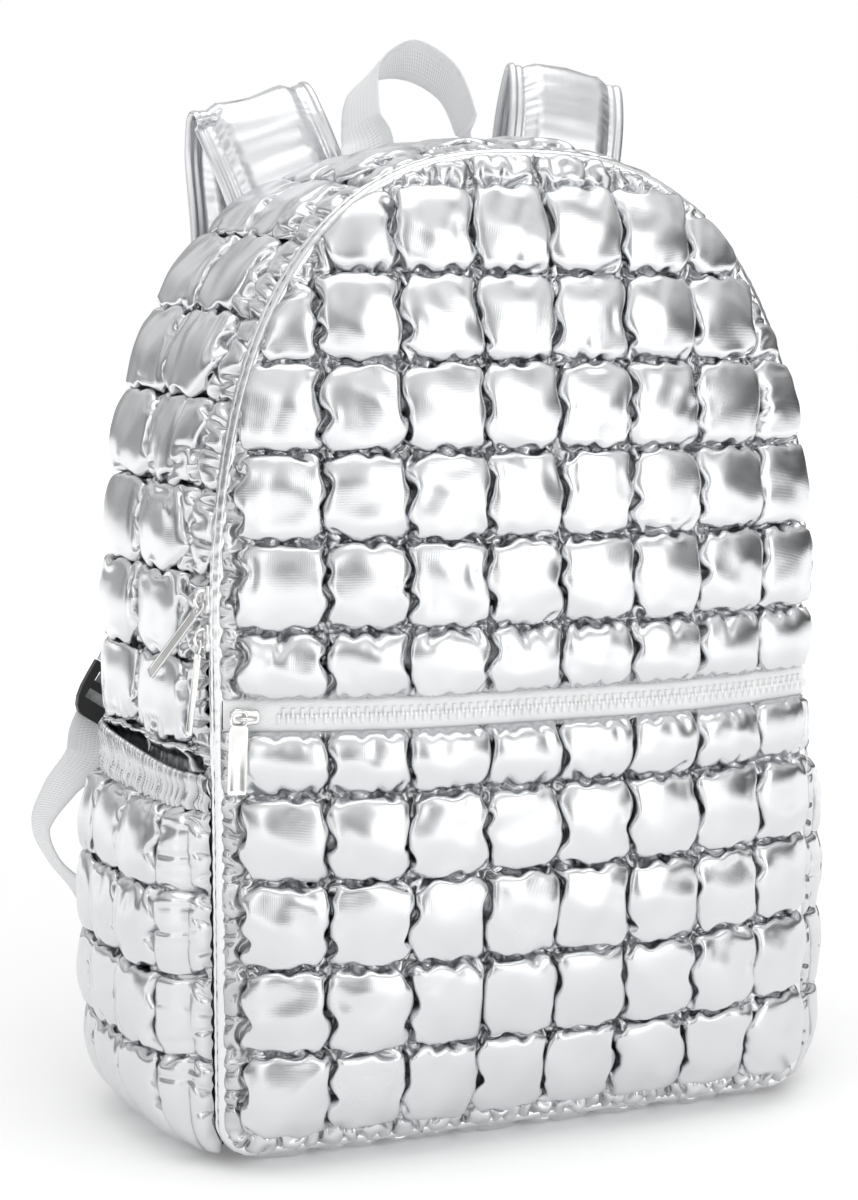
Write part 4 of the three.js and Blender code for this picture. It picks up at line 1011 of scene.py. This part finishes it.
def smooth_path(points, count):
    """Centripetal Catmull-Rom through the points, with the end ones reflected; returns places and
    directions at evenly spread parameters."""
    points = np.asarray(points, float)
    full = np.concatenate([[2 * points[0] - points[1]], points, [2 * points[-1] - points[-2]]])
    t = np.linspace(0, len(points) - 1, count)
    i = np.minimum(t.astype(int), len(points) - 2)
    w = (t - i)[:, None]
    p = [full[i + k] for k in range(4)]
    d = [np.sqrt(np.linalg.norm(p[k + 1] - p[k], axis=1))[:, None] for k in range(3)]
    m1 = ((p[1] - p[0]) / d[0] - (p[2] - p[0]) / (d[0] + d[1]) + (p[2] - p[1]) / d[1]) * d[1]
    m2 = ((p[2] - p[1]) / d[1] - (p[3] - p[1]) / (d[1] + d[2]) + (p[3] - p[2]) / d[2]) * d[1]
    c2 = -3 * p[1] + 3 * p[2] - 2 * m1 - m2
    c3 = 2 * p[1] - 2 * p[2] + m1 + m2
    run = m1 + 2 * c2 * w + 3 * c3 * w ** 2
    return p[1] + m1 * w + c2 * w ** 2 + c3 * w ** 3, run / np.linalg.norm(run, axis=1)[:, None]


def band_along(places, across, count, section, *more):
    """A flat section carried along a smooth path: its width direction turns evenly from row to row.
    section gives (across, outward) offsets for each place; more are values spread the same way."""
    centre, run = smooth_path(places, count)
    t = np.linspace(0, len(places) - 1, count)
    rows = np.arange(len(places))
    wide = np.stack([np.interp(t, rows, np.asarray(across, float)[:, k]) for k in range(3)], -1)
    out = np.cross(run, wide)
    out /= np.linalg.norm(out, axis=1)[:, None]
    wide = np.cross(out, run)
    wide /= np.linalg.norm(wide, axis=1)[:, None]
    offsets = section(*(np.interp(t, rows, value) for value in more))
    return centre[:, None] + offsets[..., :1] * wide[:, None] + offsets[..., 1:] * out[:, None], centre


def add_band(name, placed, centre, girth, finish):
    """A piece from a band's sections, whose cloth is laid out along its middle and round its girth."""
    length = length_along(centre)
    return add_sheet(name, placed, finish, None, False,
                     grid_of(length, np.linspace(0, girth, placed.shape[1])))


webbing = woven("grey_twill_webbing", (0.88, 0.89, 0.9), (0.66, 0.67, 0.68), 420.0, 0.42)


def webbing_section(width, thickness, count):
    """A flat rounded section: superellipse |a / w| ^ 6 + |b / t| ^ 2 = 1, the same at every place."""
    turn = np.linspace(0, 2 * np.pi, 33)
    a = rounded(np.cos(turn), 2 / 6) * width / 2
    b = np.sin(turn) * thickness / 2
    return np.broadcast_to(np.stack([a, b], -1), (count, 33, 2))


handle_table = np.array([
    # across and up as shares, lean back, turn and tip of the width in degrees
    [-1, 0, 0, 90, 0], [-1, 0.24, 0, 90, 0], [-1, 0.38, 1, 60, 3], [-1.08, 0.52, 3, 28, 12],
    [-0.85, 0.84, 12, 20, 32], [0, 1, 18, 8, 42], [0.66, 0.84, 12, 4, 32], [0.9, 0.52, 3, 4, 12],
    [0.96, 0.38, 1, -50, 3], [1, 0.24, 0, -90, 0], [1, 0, 0, -90, 0]])
turn, tip = np.radians(handle_table[:, 3]), np.radians(handle_table[:, 4])
foot_reach, foot_back, foot_height, loop_rise = 27, 63.2, 418.3, 65
places = np.stack([handle_table[:, 0] * foot_reach, foot_back + handle_table[:, 2],
                   foot_height + handle_table[:, 1] * loop_rise], -1)
across = np.stack([np.sin(turn), -np.cos(turn) * np.cos(tip), np.sin(tip)], -1)
count = 181
placed, centre = band_along(places, across, count, lambda: webbing_section(25.0, 1.8, count))
piece = add_band("webbing_handle", placed, centre, 52, webbing)
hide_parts("handle")


# Shoulder straps: foil fabric over a thin foam, with bound and stitched edges, folded tightly over
# at the top of the back and hanging behind the bag down to a ladder lock.
strap_rows = [
    # part (0 up to the fold, 1 down from it), share, back, out and tilt left, out and tilt right, width
    (0, 0, 0.03, 0, 0, 0, 0, 1), (0, 0.35, 0.06, 0.1, 20, 0.2, 12, 1), (0, 0.8, 0.3, 0.28, 22, 0.33, 8, 1),
    (0, 1, 0.62, 0.36, 18, 0.36, 9, 1), (1, 0.06, 0.98, 0.34, 14, 0.34, 7, 1),
    (1, 0.22, 1.08, 0.26, 6, 0.28, 3, 1), (1, 0.42, 1.08, 0.24, -4, 0.24, -4, 1),
    (1, 0.62, 1, 0.46, -20, 0.46, -20, 0.95), (1, 0.82, 0.85, 0.86, -30, 0.86, -30, 0.72),
    (1, 1, 0.72, 1.4, -24, 1.4, -24, 0.5)]


def strap_section(width, length, seed):
    """A closed section: a crowned middle 9 mm thick, thin borders 8 mm wide with a groove at the
    stitching, and a rolled binding at both edges; creases cross it where the strap is bent."""
    turn = np.linspace(0, 2 * np.pi, 97)
    half = width[:, None] / 2
    place = rounded(np.cos(turn), 0.3)[None, :] * half
    inner = np.clip((half - 8 - np.abs(place)) / 7, 0, 1)
    crown = 1.5 + 3.0 * (inner * inner * (3 - 2 * inner))
    stitched = -0.8 * np.exp(-((half - 8 - np.abs(place)) / 0.7) ** 2)
    roll = 1.0 * np.exp(-((half - 1.7 - np.abs(place)) / 1.6) ** 4) - 0.5 * np.exp(
        -((half - 4.0 - np.abs(place)) / 0.5) ** 2)
    crease = 0.45 * wavy(0.7 * length[:, None] + 1.3 * place, 40.0, seed) * inner
    fine = 0.16 * wavy(length[:, None] - 0.7 * place, 12.0, seed + 5) * inner
    pucker = 0.2 * wavy(length[:, None] + 0.5 * np.abs(place), 4.2, seed + 1) * np.exp(
        -((half - 10.5 - np.abs(place)) / 3.0) ** 2)
    thick = crown + stitched + roll + crease + fine + pucker
    return np.stack([place, thick * rounded(np.sin(turn), 0.5)], -1)


strap_fabric = foil_fabric("silver_strap_foil", (0.71, 0.72, 0.735), 0.3, 0.15)
lower_ends = {}
strap_seam, lock_height = 397, 192
for side, sign, fold in (("left", -1, 460.0), ("right", 1, 479.0)):
    table = np.array(strap_rows)
    out, tilt = (table[:, 3], table[:, 4]) if side == "left" else (table[:, 5], table[:, 6])
    height = np.where(table[:, 0] == 0, strap_seam + (fold - strap_seam) * table[:, 1],
                      fold + (lock_height - fold) * table[:, 1])
    angle = np.radians(tilt)
    shift = 6 * (1 - table[:, 0] * table[:, 1])
    places = np.stack([sign * (61 + out * 56) + shift, 76.8 + table[:, 2] * 24, height], -1)
    across = np.stack([sign * np.cos(angle), 0 * angle, -np.sin(angle)], -1)
    count = 360
    width = np.maximum(30, 62 * table[:, 7])
    length = length_along(smooth_path(places, count)[0])
    placed, centre = band_along(places, across, count,
                                lambda w: strap_section(w, length, 41 + sign), width)
    piece = add_band("padded_strap_" + side, placed, centre, 130, strap_fabric)
    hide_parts("shoulder_strap_" + side)
    run = places[-1] - places[-2]
    run /= np.linalg.norm(run)
    rear = np.cross(run, across[-1])
    rear *= np.sign(rear[1]) / np.linalg.norm(rear)
    lower_ends[side] = (places[-1], run, rear)


# Ladder locks: black moulded acetal, one at the lower end of each strap, with two slots that the
# webbing is threaded through. They keep the shape of their solids.
for side in ("left", "right"):
    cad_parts["ladder_lock_" + side].data.materials.clear()
    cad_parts["ladder_lock_" + side].data.materials.append(black_plastic)


# Lower webbing: light grey webbing, 20 mm wide, that leaves the ladder lock in a slack bow and comes
# back to the bottom corner of the back, where it is sewn in.
bow = np.array([[0, 0, 0, 0], [0.09, 0.14, 0, 20], [0.19, 0.62, 0, 50], [0.31, 1, 0.02, 78],
                [0.42, 0.9, 0.08, 80], [0.54, 0.5, 0.2, 60], [0.7, 0.15, 0.5, 30], [0.86, 0.03, 0.84, 8],
                [1, 0, 1, 0]])
for side, sign in (("left", -1), ("right", 1)):
    end, run, rear = lower_ends[side]
    behind = end + rear * (2.5 + 1.2)
    first = behind + run * 4
    start = behind + run * 30
    anchor = np.array([sign * 136.0, 73.8, 22.0])
    places = np.stack([start[0] + (anchor[0] - start[0]) * bow[:, 0] + sign * bow[:, 1] * 31,
                       start[1] + (anchor[1] - start[1]) * bow[:, 2],
                       start[2] + (anchor[2] - start[2]) * bow[:, 0]], -1)
    angle = np.radians(bow[:, 3])
    across = np.stack([sign * np.cos(angle), np.sin(angle), 0 * angle], -1)
    wide = np.cross(rear, run)
    wide *= np.sign(wide[0] * sign)
    places = np.concatenate([[first], places])
    across = np.concatenate([[wide], across])
    count = 161
    placed, centre = band_along(places, across, count, lambda: webbing_section(20.0, 1.8, count))
    piece = add_band("lower_strap_webbing_" + side, placed, centre, 42, webbing)
    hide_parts("lower_webbing_" + side)
